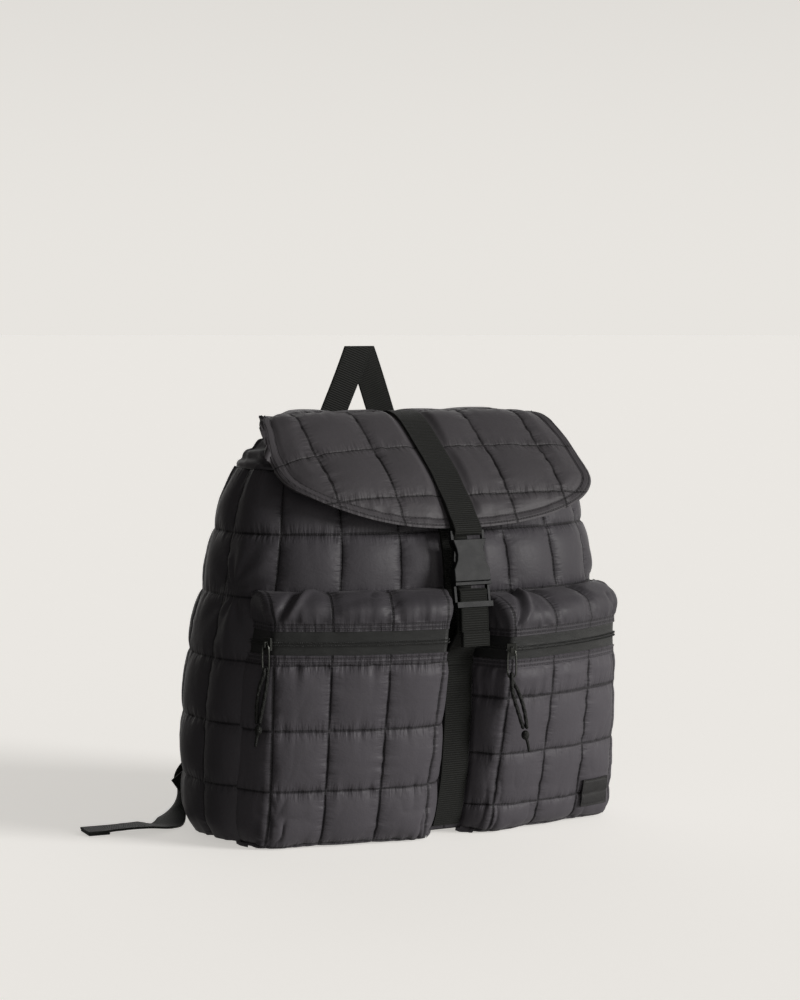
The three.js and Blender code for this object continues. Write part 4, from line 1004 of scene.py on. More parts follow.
@dataclass
class LidShape:
    """The lid's lie: a line walked from its crest along slopes, with rounded front corners."""

    half_width: float = 141.0
    back_length: float = 102.0
    front_length: float = 138.0
    straight_left: float = 54.0
    straight_right: float = 84.0
    crest_back: float = 8.0
    crest_height: float = 339.5
    corner_power: float = 2.2
    wall: float = 3.2
    droop_left: float = 13.0
    droop_right: float = 2.0
    back_slopes: Table = table(
        "along slope", [(0, 2), (0.3, 4), (0.55, 9), (0.68, 24), (0.8, 62), (0.9, 86), (1, 92), (2, 92)]
    )
    front_slopes: Table = table(
        "along slope droop",
        [
            (0, 3, 0),
            (0.06, 14, 0.1),
            (0.16, 34, 0.5),
            (0.28, 38, 1),
            (0.5, 38, 1),
            (0.62, 42, 0.8),
            (0.73, 51, 0.45),
            (0.88, 52, 0.1),
            (1, 55, 0),
            (2, 55, 0),
        ],
    )
    sides: Table = table(
        "along width", [(-1, 0.57), (-0.3, 0.76), (-0.06, 0.87), (0.09, 0.955), (0.4, 1)]
    )

    def walk(self, table: Table, length: float, forward: float) -> tuple[Array, Array, Array, Array]:
        """Walks a slope table out from the crest and returns reach, y, z and slope."""
        reach = np.arange(0, length + 60, 1.0)
        slope = np.radians(table.read("slope", reach / length, 0.03))
        y = self.crest_back - forward * np.concatenate([[0], np.cumsum(np.cos(slope[1:]))])
        z = self.crest_height - np.concatenate([[0], np.cumsum(np.sin(slope[1:]))])
        return reach, y, z, slope

    def place(self, x: Array, distance: Array, lift: Array | float) -> Array:
        """Returns where a point of the flat lid lies, by x, distance in front of the crest and lift."""
        x, distance, lift = np.broadcast_arrays(
            np.asarray(x, float), np.asarray(distance, float), np.asarray(lift, float)
        )
        places = np.empty(x.shape + (3,))
        halves = ((self.back_slopes, self.back_length, -1.0), (self.front_slopes, self.front_length, 1.0))
        for table, length, forward in halves:
            reach, y, z, slope = self.walk(table, length, forward)
            here = (distance >= 0) == (forward > 0)
            d = np.abs(distance[here])
            tilt = np.interp(d, reach, slope)
            drop = 0.0
            if forward > 0:
                amount = np.where(x[here] < 0, self.droop_left, self.droop_right)
                outward = (np.abs(x[here]) / self.half_width) ** 3
                drop = table.read("droop", d / length, 0.04) * amount * outward
            places[here] = np.stack(
                [
                    x[here],
                    np.interp(d, reach, y) - forward * np.sin(tilt) * lift[here],
                    np.interp(d, reach, z) + np.cos(tilt) * lift[here] - drop,
                ],
                -1,
            )
        return places

    def front_edge(self, share: Array) -> Array:
        """Returns how far in front of the crest the cloth ends, at a share of the half width."""
        straight = np.where(share < 0, self.straight_left, self.straight_right)
        round_off = (1 - np.minimum(np.abs(share), 1) ** self.corner_power) ** (1 / self.corner_power)
        return straight + (self.front_length - straight) * round_off

    def half_at(self, distance: Array) -> Array:
        """Returns the half width of the cloth behind its rounded front."""
        return self.half_width * self.sides.read("width", distance / self.back_length, 0.05)


@dataclass
class QuiltedLid:
    """The lid with its quilting, flat bound border and double top-stitching."""

    shape: LidShape
    puff: float = 3.4
    border: float = 9.0
    column_pitch: float = 52.0
    row_pitch: float = 54.0

    def build(self) -> None:
        """Shapes the lid."""
        lid = self.shape
        u, v = shares(213, 177, 0.85)
        w = 2 * u - 1
        far = lid.front_edge(w)
        distance = far - v * (far + lid.back_length)
        x = w * lid.half_at(distance)
        grid = Grid(u, v, lid.place(x, distance, lid.wall))
        straight = np.where(w < 0, lid.straight_left, lid.straight_right)
        ahead = np.maximum(distance - straight, 0) / (lid.front_length - straight)
        power = lid.corner_power
        inside = 1 - ahead**power - np.abs(w) ** power
        slope_x = power * np.abs(w) ** (power - 1) / lid.half_width
        slope_d = power * ahead ** (power - 1) / (lid.front_length - straight)
        corner = inside / np.maximum(np.hypot(slope_x, slope_d), 1e-4)
        edge = np.minimum(np.where(distance > straight, corner, 1e3), (1 - np.abs(w)) * lid.half_width)
        edge = np.clip(edge, 0, 60)
        across, along = x / self.column_pitch, distance / self.row_pitch
        flat = ramp(edge, self.border - 1.0, self.border + 18)
        under_strap = 1 - ramp(np.abs(x), 13.5, 21)
        behind = 1 - ramp(distance, -70, -50)
        puckers = Puckers(12).lift(x, distance, across, along, (self.column_pitch, self.row_pitch))
        lift = (self.puff * pillow(across, along, 0.42) + puckers) * flat
        noise = Noise(14)
        gather = noise.at(x / 7.5, 2.0) * np.exp(-np.abs(edge - self.border) / 7.0) * ramp(edge, 1.0, 7.0)
        slack = 0.4 * noise.at(x / 26, distance / 26) * ramp(edge, 0, 6)
        lift += gather * 0.8 + 0.9 * ramp(edge, self.border, self.border + 5) + slack
        lift = lift * (1 - 0.93 * under_strap) * (1 - 0.8 * behind)
        rolled = -1.3 * (1 - ramp(edge, 0, 2.0)) - 0.35 * hill(edge - self.border, 1.2)
        obj = Sheets.from_grid(
            "lid_quilting",
            grid.raised(lift + rolled),
            cloth=(x, distance),
            quilt=(across, along),
            edge=edge,
            shade=np.clip(0.5 - lift / 5, 0, 1) * 0.4,
            wall=lid.wall - 0.7,
        )
        look = QuiltedNylon(
            "lid_nylon",
            colour=(0.074, 0.069, 0.075),
            pitch_across=self.column_pitch,
            pitch_along=self.row_pitch,
            stitch_rows=(2.6, 8.6),
            gather=0.5,
        )
        finish_piece(obj, look, "shell_nylon", "lid")


# Webbing


def spline(points: Array, pace: float) -> Array:
    """Runs a smooth line through points.

    Args:
        points: The points to pass.
        pace: Spacing of the places on it.

    Returns:
        Places along the line.
    """
    points = np.asarray(points, float)
    padded = np.vstack([2 * points[0] - points[1], points, 2 * points[-1] - points[-2]])
    out = []
    for a, b, c, d in zip(padded, padded[1:], padded[2:], padded[3:]):
        count = max(2, int(np.linalg.norm(c - b) / pace * 2))
        t = np.linspace(0, 1, count, endpoint=False)[:, None]
        bend, twist = 2 * a - 5 * b + 4 * c - d, 3 * b - a - 3 * c + d
        out.append(0.5 * (2 * b + (c - a) * t + bend * t**2 + twist * t**3))
    line = np.vstack([*out, points[-1:]])
    lengths = lengths_along(line)
    even = np.linspace(0, lengths[-1], max(2, int(lengths[-1] / pace)) + 1)
    return np.stack([np.interp(even, lengths, line[:, k]) for k in range(line.shape[1])], 1)


@dataclass
class Strap:
    """A length of webbing that follows a line of places, each with the way that its face looks."""

    name: str
    points: Array
    faces: Array
    width: float = 25.0
    thickness: float = 1.7
    pace: float = 1.6

    def build(self, *nodes: str, slot: str = "webbing", look: Finish | None = None) -> bpy.types.Object:
        """Shapes the strap.

        Args:
            nodes: CAD nodes that it stands for.
            slot: The record's material slot; not used.
            look: Its finish, ribbed webbing unless given.

        Returns:
            The strap.
        """
        both = spline(np.hstack([self.points, self.faces * 10]), self.pace)
        line, faces = both[:, :3], both[:, 3:]
        along = unit(np.gradient(line, axis=0))
        out = unit(faces - along * np.sum(faces * along, 1, keepdims=True))
        across = np.cross(along, out)
        u, v = shares(9, len(line))
        off = (u - 0.5) * self.width
        places = line[:, None] + across[:, None] * off[..., None]
        grid = Grid(u, v, places)
        lengths = lengths_along(line)
        obj = Sheets.from_grid(
            self.name,
            grid,
            cloth=(off + self.width / 2, lengths[:, None] + 0 * u),
            wall=self.thickness,
            centred=True,
        )
        Sheets.selvedged(obj)
        return finish_piece(obj, look or Webbing(), slot, *nodes)


def upright(points: Sequence[Sequence[float]]) -> tuple[Array, Array]:
    """Places a strap square to X along points of y and z, and faces it to the left of its way."""
    line = np.array([(0.0, y, z) for y, z in points])
    along = np.gradient(line, axis=0)
    steps = np.linalg.norm(along, axis=1, keepdims=True)
    return line, np.stack([along[:, 0] * 0, -along[:, 2], along[:, 1]], 1) / steps


@dataclass
class FrontHardware:
    """The buckle with its webbing, from the lid to the centre strap."""

    bag: BagShape
    lid: LidShape
    tilt: float = 0.19
    bar: float = 3.2
    gap: float = 0.35
    webbing: float = 1.7

    def __post_init__(self) -> None:
        """Finds where the buckle hangs."""
        self.at = self.lid.place(0, self.lid.front_length + 4.5, self.lid.wall + 1.5)
        self.turn = self.bar / 2 + self.gap + self.webbing / 2

    def on(self, down: float, out: float) -> tuple[float, float]:
        """Returns y and z of a place counted down the buckle and out of its face."""
        y = self.at[1] - math.sin(self.tilt) * down - math.cos(self.tilt) * out
        z = self.at[2] - math.cos(self.tilt) * down + math.sin(self.tilt) * out
        return y, z

    def on_lid(self, distance: float, lift: float) -> tuple[float, float]:
        """Returns y and z of a place on the lid's middle."""
        place = self.lid.place(0, distance, lift)
        return float(place[1]), float(place[2])

    def build_lid_strap(self) -> None:
        """Lays the strap over the lid, round the buckle's bar and back under itself."""
        single = self.lid.wall + self.gap + 0.4 + self.webbing / 2
        double = single + self.webbing + self.gap
        end, tuck = self.lid.front_length, 28
        on_lid = [self.on_lid(k * 9.0, single) for k in range(-10, 12)]
        over = [self.on_lid(end - d, double) for d in (tuck - 6, 18, 9)]
        over.append(self.on_lid(end - 2, double + 0.9))
        turns = np.linspace(0.42, -2.72, 9)
        around = [self.on(-self.turn * math.sin(t), self.turn * math.cos(t)) for t in turns]
        under = [self.on_lid(end - d, single) for d in (1.5, 8, 16, tuck - 3)]
        points, faces = upright([*on_lid, *over, *around, *under])
        Strap("lid_webbing", points, faces).build("lid_strap")

    def build_tail(self) -> None:
        """Brings the lower webbing up behind, over the ladder's bar, and lets it hang in front."""
        bar_down, body, ladder = 6.5, 34, 20.5
        top = bar_down + body + self.gap
        over = [
            self.on(top + 9 - self.turn * math.sin(t), -1.4 - self.turn * math.cos(t))
            for t in np.linspace(0.3, math.pi - 0.3, 7)
        ]
        sewn = [(self.strap_face(z) - self.webbing / 2 - self.gap, z) for z in (143, 152)]
        behind = [self.on(top + ladder + down, out) for down, out in ((20, -9.5), (8, -6), (-4, -4.2))]
        behind = [*sewn, *behind]
        tail_y, tail_z = self.on(top + ladder + 6, 0.6)
        drop = tail_z - 160
        front = [
            self.on(top + ladder - 6.5, 0.7),
            self.on(top + ladder, 0.8),
            (tail_y, tail_z),
            (tail_y - 0.5, tail_z - drop / 2),
            (tail_y - 0.8, tail_z - drop + 6),
            (tail_y - 0.8, tail_z - drop),
        ]
        points, faces = upright([*behind, *over, *front])
        Strap("tail_webbing", points, faces, pace=1.2).build("buckle_tail_strap")
        fold_y = tail_y - 0.8 - self.webbing * 1.02
        fold = [(fold_y, tail_z - drop + 12 * share) for share in (1, 0.5, 0.02)]
        points, faces = upright(fold)
        Strap("tail_fold", points, faces, thickness=1.5).build()

    def strap_face(self, z: float) -> float:
        """Returns y of the middle strap's face over the bag."""
        return float(self.bag.front(0.0, z)) - 1 - self.webbing

    def build_centre(self) -> None:
        """Lays the strap down the middle of the front."""
        points, faces = upright([(self.strap_face(z) + self.webbing / 2, z) for z in np.linspace(8, 292, 32)])
        faces[:, 1] = -np.abs(faces[:, 1])
        Strap("centre_webbing", points, -faces if faces[0, 1] > 0 else faces, pace=2.5).build("centre_strap")


# The pockets


class Side(Enum):
    """Which side of the bag, seen from the front."""

    LEFT = -1
    RIGHT = 1

    @property
    def label(self) -> str:
        """The side's name in lower case."""
        return self.name.lower()


@dataclass
class PocketShape:
    """The plan of a front pocket over its rows."""

    bag: BagShape
    side: Side
    height: float = 206.0
    spread: float = 132.0
    inner_x: float = 29.0
    outer_reach: float = 0.94
    depth: float = 88.0
    crown: float = 9.0
    front_rows: Table = table(
        "row left right reach inner outer bulge",
        [
            (0, 0.022, 0.022, 0.12, 0.93, 0.63, 0),
            (1, 0.011, 0.011, 0.45, 0.93, 0.63, 0),
            (2, 0.006, 0.006, 0.8, 0.93, 0.64, 0.2),
            (3, 0.017, 0.017, 0.97, 0.95, 0.66, 0.5),
            (4, 0.078, 0.063, 1, 1.0, 0.71, 0.8),
            (5, 0.16, 0.121, 1, 1.05, 0.745, 1),
            (6, 0.233, 0.194, 1, 1.09, 0.765, 0.9),
            (7, 0.311, 0.262, 1, 1.135, 0.785, 1.05),
            (8, 0.393, 0.335, 1, 1.18, 0.8, 1.1),
            (9, 0.471, 0.408, 1, 1.225, 0.81, 0.95),
            (10, 0.553, 0.485, 1, 1.27, 0.82, 1.1),
            (11, 0.631, 0.563, 1, 1.32, 0.83, 1.1),
            (12, 0.709, 0.641, 1, 1.37, 0.84, 1),
            (13, 0.762, 0.714, 1, 1.4, 0.85, 1),
        ],
    )
    top_rows: Table = table(
        "row left right reach inner outer bulge",
        [
            (0, 0.859, 0.811, 1, 1.45, 0.86, 1),
            (1, 0.908, 0.864, 0.99, 1.46, 0.86, 1),
            (2, 0.951, 0.913, 0.9, 1.46, 0.86, 0.9),
            (3, 0.981, 0.947, 0.66, 1.44, 0.86, 0.6),
            (4, 0.995, 0.964, 0.34, 1.4, 0.86, 0.3),
            (5, 1.0, 0.968, 0.1, 1.4, 0.86, 0),
        ],
    )

    def rows_of(self, table: Table, row: Array, soften: float) -> dict[str, Array]:
        """Reads a rows table softly, with the height of this side."""
        names = {"height": self.side.label} | {name: name for name in ("reach", "inner", "outer", "bulge")}
        made = {name: table.read(column, row, soften) for name, column in names.items()}
        made["height"] = made["height"] * self.height
        return made

    def front_at(self, row: Array, soften: float = 0.0) -> dict[str, Array]:
        """Reads the front's rows at places counted upwards."""
        return self.rows_of(self.front_rows, row, soften)

    def top_at(self, row: Array, soften: float = 0.0) -> dict[str, Array]:
        """Reads the top panel's rows at places counted upwards."""
        return self.rows_of(self.top_rows, row, soften)

    def plan(self, row: dict[str, Array], share: Array) -> Array:
        """Returns places on the unrounded plan, on the right side of the bag."""
        z = row["height"]
        inner_back_x = self.inner_x - 15.5
        outer_back_x = self.outer_reach * self.bag.size(z)[0]
        bury = 1.5
        inner_back = np.stack(np.broadcast_arrays(inner_back_x, self.bag.front(inner_back_x, z) + bury), -1)
        outer_back = np.stack(np.broadcast_arrays(outer_back_x, self.bag.front(outer_back_x, z) + bury), -1)
        inner_edge = np.stack(np.broadcast_arrays(self.inner_x, -row["inner"] * self.depth), -1)
        outer_edge = np.stack(np.broadcast_arrays(self.inner_x + self.spread, -row["outer"] * self.depth), -1)
        s = share[..., None]
        part = np.clip(share - 1, 0, 1)
        bow = 4 * part * (1 - part) * self.crown * (0.4 + 0.6 * row["bulge"])
        span = outer_edge - inner_edge
        normal = unit(np.stack([span[..., 1], -span[..., 0]], -1))
        middle = inner_edge + span * part[..., None] + normal * bow[..., None]
        front = np.where(
            s < 1,
            inner_back + (inner_edge - inner_back) * s,
            np.where(s > 2, outer_edge + (outer_back - outer_edge) * (s - 2), middle),
        )
        x = inner_back_x + (outer_back_x - inner_back_x) * part
        behind = np.stack([x, self.bag.front(x, z) + bury], -1)
        back = np.where(s < 1, inner_back, np.where(s > 2, outer_back, behind))
        reach = row["reach"][..., None]
        flat = back + (front - back) * reach
        return np.concatenate([flat, np.broadcast_to(z[..., None], flat.shape[:-1] + (1,))], -1)

    def place(self, row: dict[str, Array], share: Array, round_off: float = 0.075) -> Array:
        """Returns places with the box corners rounded, mirrored on the left side."""
        taps = np.linspace(-1, 1, 7) * round_off
        limit = [np.clip(share + tap * ramp(np.minimum(share, 3 - share), 0, 0.1), 0, 3) for tap in taps]
        places = sum(self.plan(row, at) for at in limit) / len(taps)
        places[..., 0] *= self.side.value
        return places

    def shares_of(self, u: Array) -> Array:
        """Turns a share across the sheet into a share round the plan, so that the cloth faces out."""
        lengths = np.interp(u if self.side is Side.RIGHT else 1 - u, [0, 0.16, 0.84, 1], [0, 1, 2, 3])
        return lengths


@dataclass
class ZippedPocket:
    """One front pocket: quilted front, gathered top, zip, slider and pull."""

    shape: PocketShape
    puff: float = 4.3
    seed: int = 50
    column_pitch: float = 47.0
    row_pitch: float = 48.0
    stitching: tuple[float, float] = (1.9, 5.2)
    wall: float = 2.4
    tape_width: float = 19.4
    tooth_pitch: float = 1.45
    patch: tuple[float, float] = (32, 22)

    def __post_init__(self) -> None:
        """Sets what differs between the two sides."""
        left = self.shape.side is Side.LEFT
        self.lines = [6.0, 9.0, 12.35] if left else [5.0, 8.0, 11.0]
        self.seed += 0 if left else 9

    def cloth_x(self, share: Array) -> Array:
        """Lengths round the pocket, in millimetres."""
        return np.interp(share, [0, 1, 2, 3], [-34, 0, 140, 172])

    def columns_at(self, share: Array) -> Array:
        """Squares counted round the pocket."""
        return np.interp(share, [0, 1, 2, 3], [0, 1, 4, 5])

    def front_lift(self, share: Array, row: Array, z: Array) -> tuple[Array, Array, Array, Array]:
        """Returns the front's lift, its squares across and along, and the distance under the hem."""
        across = self.columns_at(share)
        along = np.interp(row, [0, 3, *self.lines, 16], [-0.5, 0, 1, 2, 3, 4])
        x = self.cloth_x(share)
        hem = self.shape.front_at(np.array(13.0))["height"] - z
        noise = Noise(self.seed)
        swell = pillow(across, along, 0.52)
        puckers = Puckers(self.seed + 2, depth=1.1)
        lift = self.puff * swell + puckers.lift(x, z, across, along, (self.column_pitch, self.row_pitch))
        lift *= ramp(hem, 3.0, 17.0) * ramp(row, 1.2, 4.2)
        gathers = noise.at(x / 5.2 + 0.8 * noise.at(x / 18, 1.0), 5.0)
        gathers = gathers * np.exp(-np.abs(hem - 8.5) / 8.0) * ramp(hem, 5.5, 8.0)
        ears = 3.2 * hill(share - 1.03, 0.16) * hill(row - 3.4, 1.5)
        ears += 3.4 * hill(share - 1.98, 0.16) * hill(row - 3.2, 1.6)
        corners = hill(share - 1.0, 0.22) + hill(share - 2.0, 0.22)
        crumple = noise.ridges(x / 11, z / 17, 3) * hill(row - 3.8, 2.2) * 1.9 * corners
        lift = lift + gathers * 1.25 + ears - crumple + 0.7 * ramp(1.2 - hem, 0, 1.2)
        return lift, across, along, hem

    def build_front(self) -> None:
        """Shapes the quilted front."""
        u, v = shares(213, 161)
        share = self.shape.shares_of(u)
        row = np.interp(v, [0, 0.12, 1], [0, 3.4, 13])
        rows = self.shape.front_at(row, 0.55)
        sharp = self.shape.front_at(row)
        rows["height"] = np.where(row > 12.4, sharp["height"], rows["height"])
        grid = Grid(u, v, self.shape.place(rows, share))
        lift, across, along, hem = self.front_lift(share, row, rows["height"])
        inside = ramp(np.minimum(share, 3 - share), 0.0, 0.25)
        label = self.shape.side.label
        raised = grid.raised(lift * inside)
        raised.places[..., 2] = np.maximum(raised.places[..., 2], 1.4)
        obj = Sheets.from_grid(
            f"{label}_pocket_quilting",
            raised,
            cloth=(self.cloth_x(share), rows["height"]),
            quilt=(across, along),
            edge=hem,
            shade=np.clip(0.5 - lift / 6, 0, 1) * 0.5,
            wall=self.wall,
        )
        # Painted light: the pocket fronts get a lighter copy of the shared nylon colour.
        look = QuiltedNylon(
            "pocket_nylon_painted_lighter",
            (0.086, 0.080, 0.091),
            pitch_across=self.column_pitch,
            pitch_along=self.row_pitch,
            stitch_rows=self.stitching,
            gather=0.8,
        )
        finish_piece(obj, look, "shell_nylon", f"{label}_pocket_front")

    def build_top(self) -> None:
        """Shapes the top panel, gathered over the zip and folded at its corners."""
        u, v = shares(213, 61)
        share = self.shape.shares_of(u)
        row = 5 * v
        rows = self.shape.top_at(row, 0.45)
        sharp = self.shape.top_at(row)
        rows["height"] = np.where(row < 0.6, sharp["height"], rows["height"])
        grid = Grid(u, v, self.shape.place(rows, share))
        x = self.cloth_x(share)
        low = self.shape.top_at(np.array(0.0))["height"]
        hem = (rows["height"] - low) + np.maximum(row - 2, 0) * 16
        noise = Noise(self.seed + 4)
        across = self.columns_at(share)
        column = np.abs(across - np.rint(across)) * self.column_pitch
        lift = 3.8 * ramp(hem, 3, 18) * (1 - 0.75 * ramp(row, 3.0, 5.0))
        lift -= 2.6 * hill(column, 6.0) * ramp(hem, 6, 16) * (np.abs(share - 1.5) < 0.42)
        gathers = noise.at(x / 5.0 + 0.9 * noise.at(x / 15, 1.0), 5.0)
        gathers = gathers * np.exp(-np.abs(hem - 8.0) / 9.0) * ramp(hem, 5, 8)
        folds = noise.ridges((x + row * 9) / 26, row / 1.7 + 3, 4) * ramp(hem, 8, 22)
        lift = lift + gathers * 1.35 - folds * 1.2 + 0.7 * noise.at(x / 20, row * 1.3)
        off = x - 3 - row * 8 if self.shape.side is Side.RIGHT else 134 - row * 7 - x
        corner = hill(off, 3.4) - 1.1 * hill(off + 8, 3.2)
        lift += 2.3 * corner * ramp(hem, 5, 12)
        lift *= ramp(np.minimum(share, 3 - share), 0.0, 0.25) * (1 - ramp(row, 4.3, 5.0))
        label = self.shape.side.label
        obj = Sheets.from_grid(
            f"{label}_pocket_hood",
            grid.raised(lift),
            cloth=(x, rows["height"] + np.maximum(row - 2, 0) * 16),
            quilt=(across, across * 0 + 0.5),
            edge=hem,
            shade=np.clip(0.5 - lift / 6, 0, 1) * 0.5,
            wall=self.wall,
        )
        # Painted shade: the pocket tops get a darker copy of the shared nylon colour.
        look = QuiltedNylon(
            "pocket_top_nylon_painted_darker",
            (0.064, 0.060, 0.068),
            pitch_across=self.column_pitch,
            stitch_rows=self.stitching,
            gather=0.9,
        )
        finish_piece(obj, look, "shell_nylon", f"{label}_pocket_top")

    def zip_rows(self, off: Array) -> dict[str, Array]:
        """Rows between the two panels, by how far above the zip's middle they lie."""
        low = self.shape.front_at(np.array(13.0))
        high = self.shape.top_at(np.array(0.0))
        part = 0.5 + off / (high["height"] - low["height"])
        return {name: low[name] + (high[name] - low[name]) * part for name in low}

    def build_zip(self) -> None:
        """Shapes the tape and the coil's teeth."""
        label = self.shape.side.label
        u, v = shares(201, 33)
        share = self.shape.shares_of(u)
        off = (v - 0.5) * self.tape_width
        rows = self.zip_rows(off)
        grid = Grid(u, v, self.shape.place(rows, share))
        chain = hill(off, 2.6)
        lift = -0.8 + 0.45 * chain + 0.25 * Noise(self.seed + 7).at(u * 20, off / 9)
        lift = lift - 0.25 * hill(off, 0.5)
        obj = Sheets.from_grid(
            f"{label}_zip_cloth",
            grid.raised(lift),
            cloth=(self.cloth_x(share), off),
            wall=1.2,
        )
        finish_piece(obj, Tape(), "zip_tape", f"{label}_zip_tape")
        self.build_teeth(label)

    def build_teeth(self, label: str) -> None:
        """Models one tooth of the coil and copies it along both sides of the zip."""
        fine = np.linspace(0.05, 2.95, 900)
        rows = self.zip_rows(np.zeros_like(fine))
        line = self.shape.place(rows, fine)
        lengths = lengths_along(line)
        count = int(lengths[-1] / self.tooth_pitch)
        steps = np.arange(count) * self.tooth_pitch
        at = np.stack([np.interp(steps, lengths, line[:, k]) for k in range(3)], 1)
        along = unit(np.gradient(at, axis=0))
        up = np.array([0.0, 0.0, 1.0])
        out = np.cross(along, up) * self.shape.side.value
        bpy.ops.mesh.primitive_uv_sphere_add(segments=8, ring_count=4, radius=0.5)
        tooth = bpy.context.active_object
        rounded = np.empty(len(tooth.data.vertices) * 3)
        tooth.data.vertices.foreach_get("co", rounded)
        rounded = rounded.reshape(-1, 3)
        faces = [tuple(face.vertices) for face in tooth.data.polygons]
        bpy.data.objects.remove(tooth)
        places, polygons = [], []
        for side in (-1, 1):
            for i in range(count):
                centre = at[i] + along[i] * (0.36 * side) + out[i] * 0.55 + up * (1.15 * side)
                size = (0.62 * along[i], 0.75 * out[i], 1.5 * up)
                base = len(places) * len(rounded)
                places.append(centre + rounded @ np.stack(size))
                polygons += [tuple(base + k for k in face) for face in faces]
        mesh = bpy.data.meshes.new(f"{label}_zip_teeth")
        mesh.from_pydata((np.vstack(places) * MM).tolist(), [], polygons)
        obj = bpy.data.objects.new(f"{label}_zip_teeth", mesh)
        bpy.context.scene.collection.objects.link(obj)
        Sheets.merged(obj, 0.001)
        Sheets.smooth(obj, 80)
        look = Moulded("zip_coil", (0.012, 0.013, 0.012), roughness=0.3)
        finish_piece(obj, look, "zip_tape", f"{label}_zip_coil")

    def build_patch(self) -> None:
        """Sews the bare patch low beside the outer edge; it bridges the quilting under it."""
        u, v = shares(41, 31)
        width, height = self.patch
        share = 1.81 + (u - 0.5) * width / 136
        fine = np.linspace(0, 13, 800)
        heights = self.shape.front_at(fine, 0.55)["height"]
        row = np.interp(26.5 + (v - 0.5) * height, heights[150:], fine[150:])
        rows = self.shape.front_at(row, 0.55)
        grid = Grid(u, v, self.shape.place(rows, share))
        lift = self.front_lift(share, row, rows["height"])[0]
        over = max(0.0, float(lift.max() - lift.mean())) * 0.55
        border = np.minimum(np.minimum(u, 1 - u) * width, np.minimum(v, 1 - v) * height)
        smooth = lift.mean() + (lift - lift.mean()) * 0.45 + over
        lift = np.maximum(smooth, lift + 0.5) + 0.5 + 0.25 * Noise(77).at(u * 4, v * 3)
        lift -= 0.45 * hill(border - 1.6, 0.5)
        obj = Sheets.from_grid(
            "patch_cloth",
            grid.raised(lift),
            cloth=((u - 0.5) * width, (v - 0.5) * height),
            edge=border,
            wall=1.0,
        )
        finish_piece(obj, Tape("patch_weave", (0.016, 0.0155, 0.016), 0.55), "webbing", "label_patch")

    def build(self) -> None:
        """Builds the whole pocket."""
        if self.shape.side is Side.RIGHT:
            self.build_patch()
        self.build_front()
        self.build_top()
        self.build_zip()


# Small parts that keep their CAD shape


@dataclass
class Softened:
    """A hard or small piece copied from its CAD node, with its edges broken as moulded ones are."""

    node: str
    slot: str
    look: Finish
    bevel: float = 0.0
    rounds: int = 0

    def build(self) -> None:
        """Copies the node's mesh, merges it, and bevels or rounds it."""
        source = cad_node(self.node)
        mesh = source.data.copy()
        obj = bpy.data.objects.new(f"{self.node}_finished", mesh)
        bpy.context.scene.collection.objects.link(obj)
        Sheets.merged(obj, 0.002)
        if self.bevel:
            Sheets.edit(obj, partial(bpy.ops.mesh.dissolve_limited, angle_limit=math.radians(1.0)))
            Sheets.modify(
                obj,
                "BEVEL",
                width=self.bevel * MM,
                segments=3,
                limit_method="ANGLE",
                angle_limit=math.radians(28),
                use_clamp_overlap=True,
            )
        if self.rounds:
            Sheets.modify(obj, "SUBSURF", levels=self.rounds, render_levels=self.rounds)
        Sheets.smooth(obj, 40 if self.bevel else 80)
        if self.bevel:
            Sheets.modify(obj, "WEIGHTED_NORMAL", keep_sharp=True, weight=100)
        finish_piece(obj, self.look, self.slot, self.node)


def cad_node(name: str) -> bpy.types.Object:
    """Finds the object of a CAD node."""
    found = FRAME["nodes"][name]
    return bpy.data.objects[found] if isinstance(found, str) else found


# The back


@dataclass
class ShoulderPad:
    """A padded shoulder strap with bound edges."""

    bag: BagShape
    side: Side
    top_width: float = 52.0
    end_width: float = 40.0
    thickness: float = 9.0
    line: Table = table(
        "down side height",
        [(0, 0.21, 0.845), (0.25, 0.27, 0.7), (0.5, 0.345, 0.56), (0.75, 0.43, 0.41), (1, 0.53, 0.27)],
    )

    def half(self, v: Array) -> Array:
        """Half the thickness, thin at the stitched ends."""
        return self.thickness / 2 * (0.45 + 0.55 * ramp(np.minimum(v, 1 - v), 0, 0.07))

    def middle(self, v: Array) -> Array:
        """Returns places along the pad's middle, from the lid's end down."""
        x = self.line.read("side", v, 0.06) * self.bag.half_width
        z = self.line.read("height", v) * self.bag.height
        clear = 1.4 + 6.6 * v
        a, _, back = self.bag.size(z)
        face = back * (1 - np.minimum(x / a, 1) ** self.bag.back_power) ** (1 / self.bag.back_power) + 4
        y = face + clear + self.half(v) + 9 * np.sin(math.pi * v)
        return np.stack([x * self.side.value, y, z], -1)

    def end_frame(self) -> tuple[Array, Array, Array]:
        """Returns the pad's low end, the way down along it and the way out of it."""
        last = self.middle(np.array([0.98, 1.0]))
        down = unit(last[1] - last[0])
        out = np.array([0.0, 1.0, 0.0]) - down * down[1]
        return last[1], down, unit(out)

    def build(self) -> None:
        """Shapes the pad as a closed crowned form."""
        u, v = shares(57, 121)
        middle = self.middle(v)
        along = unit(np.gradient(middle, axis=0))
        out = unit(np.array([0.0, 1.0, 0.0]) - along * along[..., 1:2])
        across = np.cross(out, along)
        turn = u * TURN
        width = (self.top_width + (self.end_width - self.top_width) * v) / 2
        i = width * signed_power(np.cos(turn), 0.55)
        k = self.half(v) * signed_power(np.sin(turn), 0.8)
        edge = width - np.abs(i)
        k = k * (0.35 + 0.65 * ramp(edge, 1.5, 7.0))
        cap = ramp(np.minimum(v, 1 - v), 0, 0.004) * 0.999 + 0.001
        places = middle + across * i[..., None] + out * (k * cap)[..., None]
        obj = Sheets.from_grid(
            f"{self.side.label}_pad_cover",
            Grid(u, v, places),
            cloth=(turn / TURN * 120, v * 205),
            closed=True,
        )
        Sheets.capped(obj, 60)
        finish_piece(obj, PanelCloth("pad_cloth"), "panel_fabric", f"{self.side.label}_shoulder_pad")


# Cords, straps and the handle


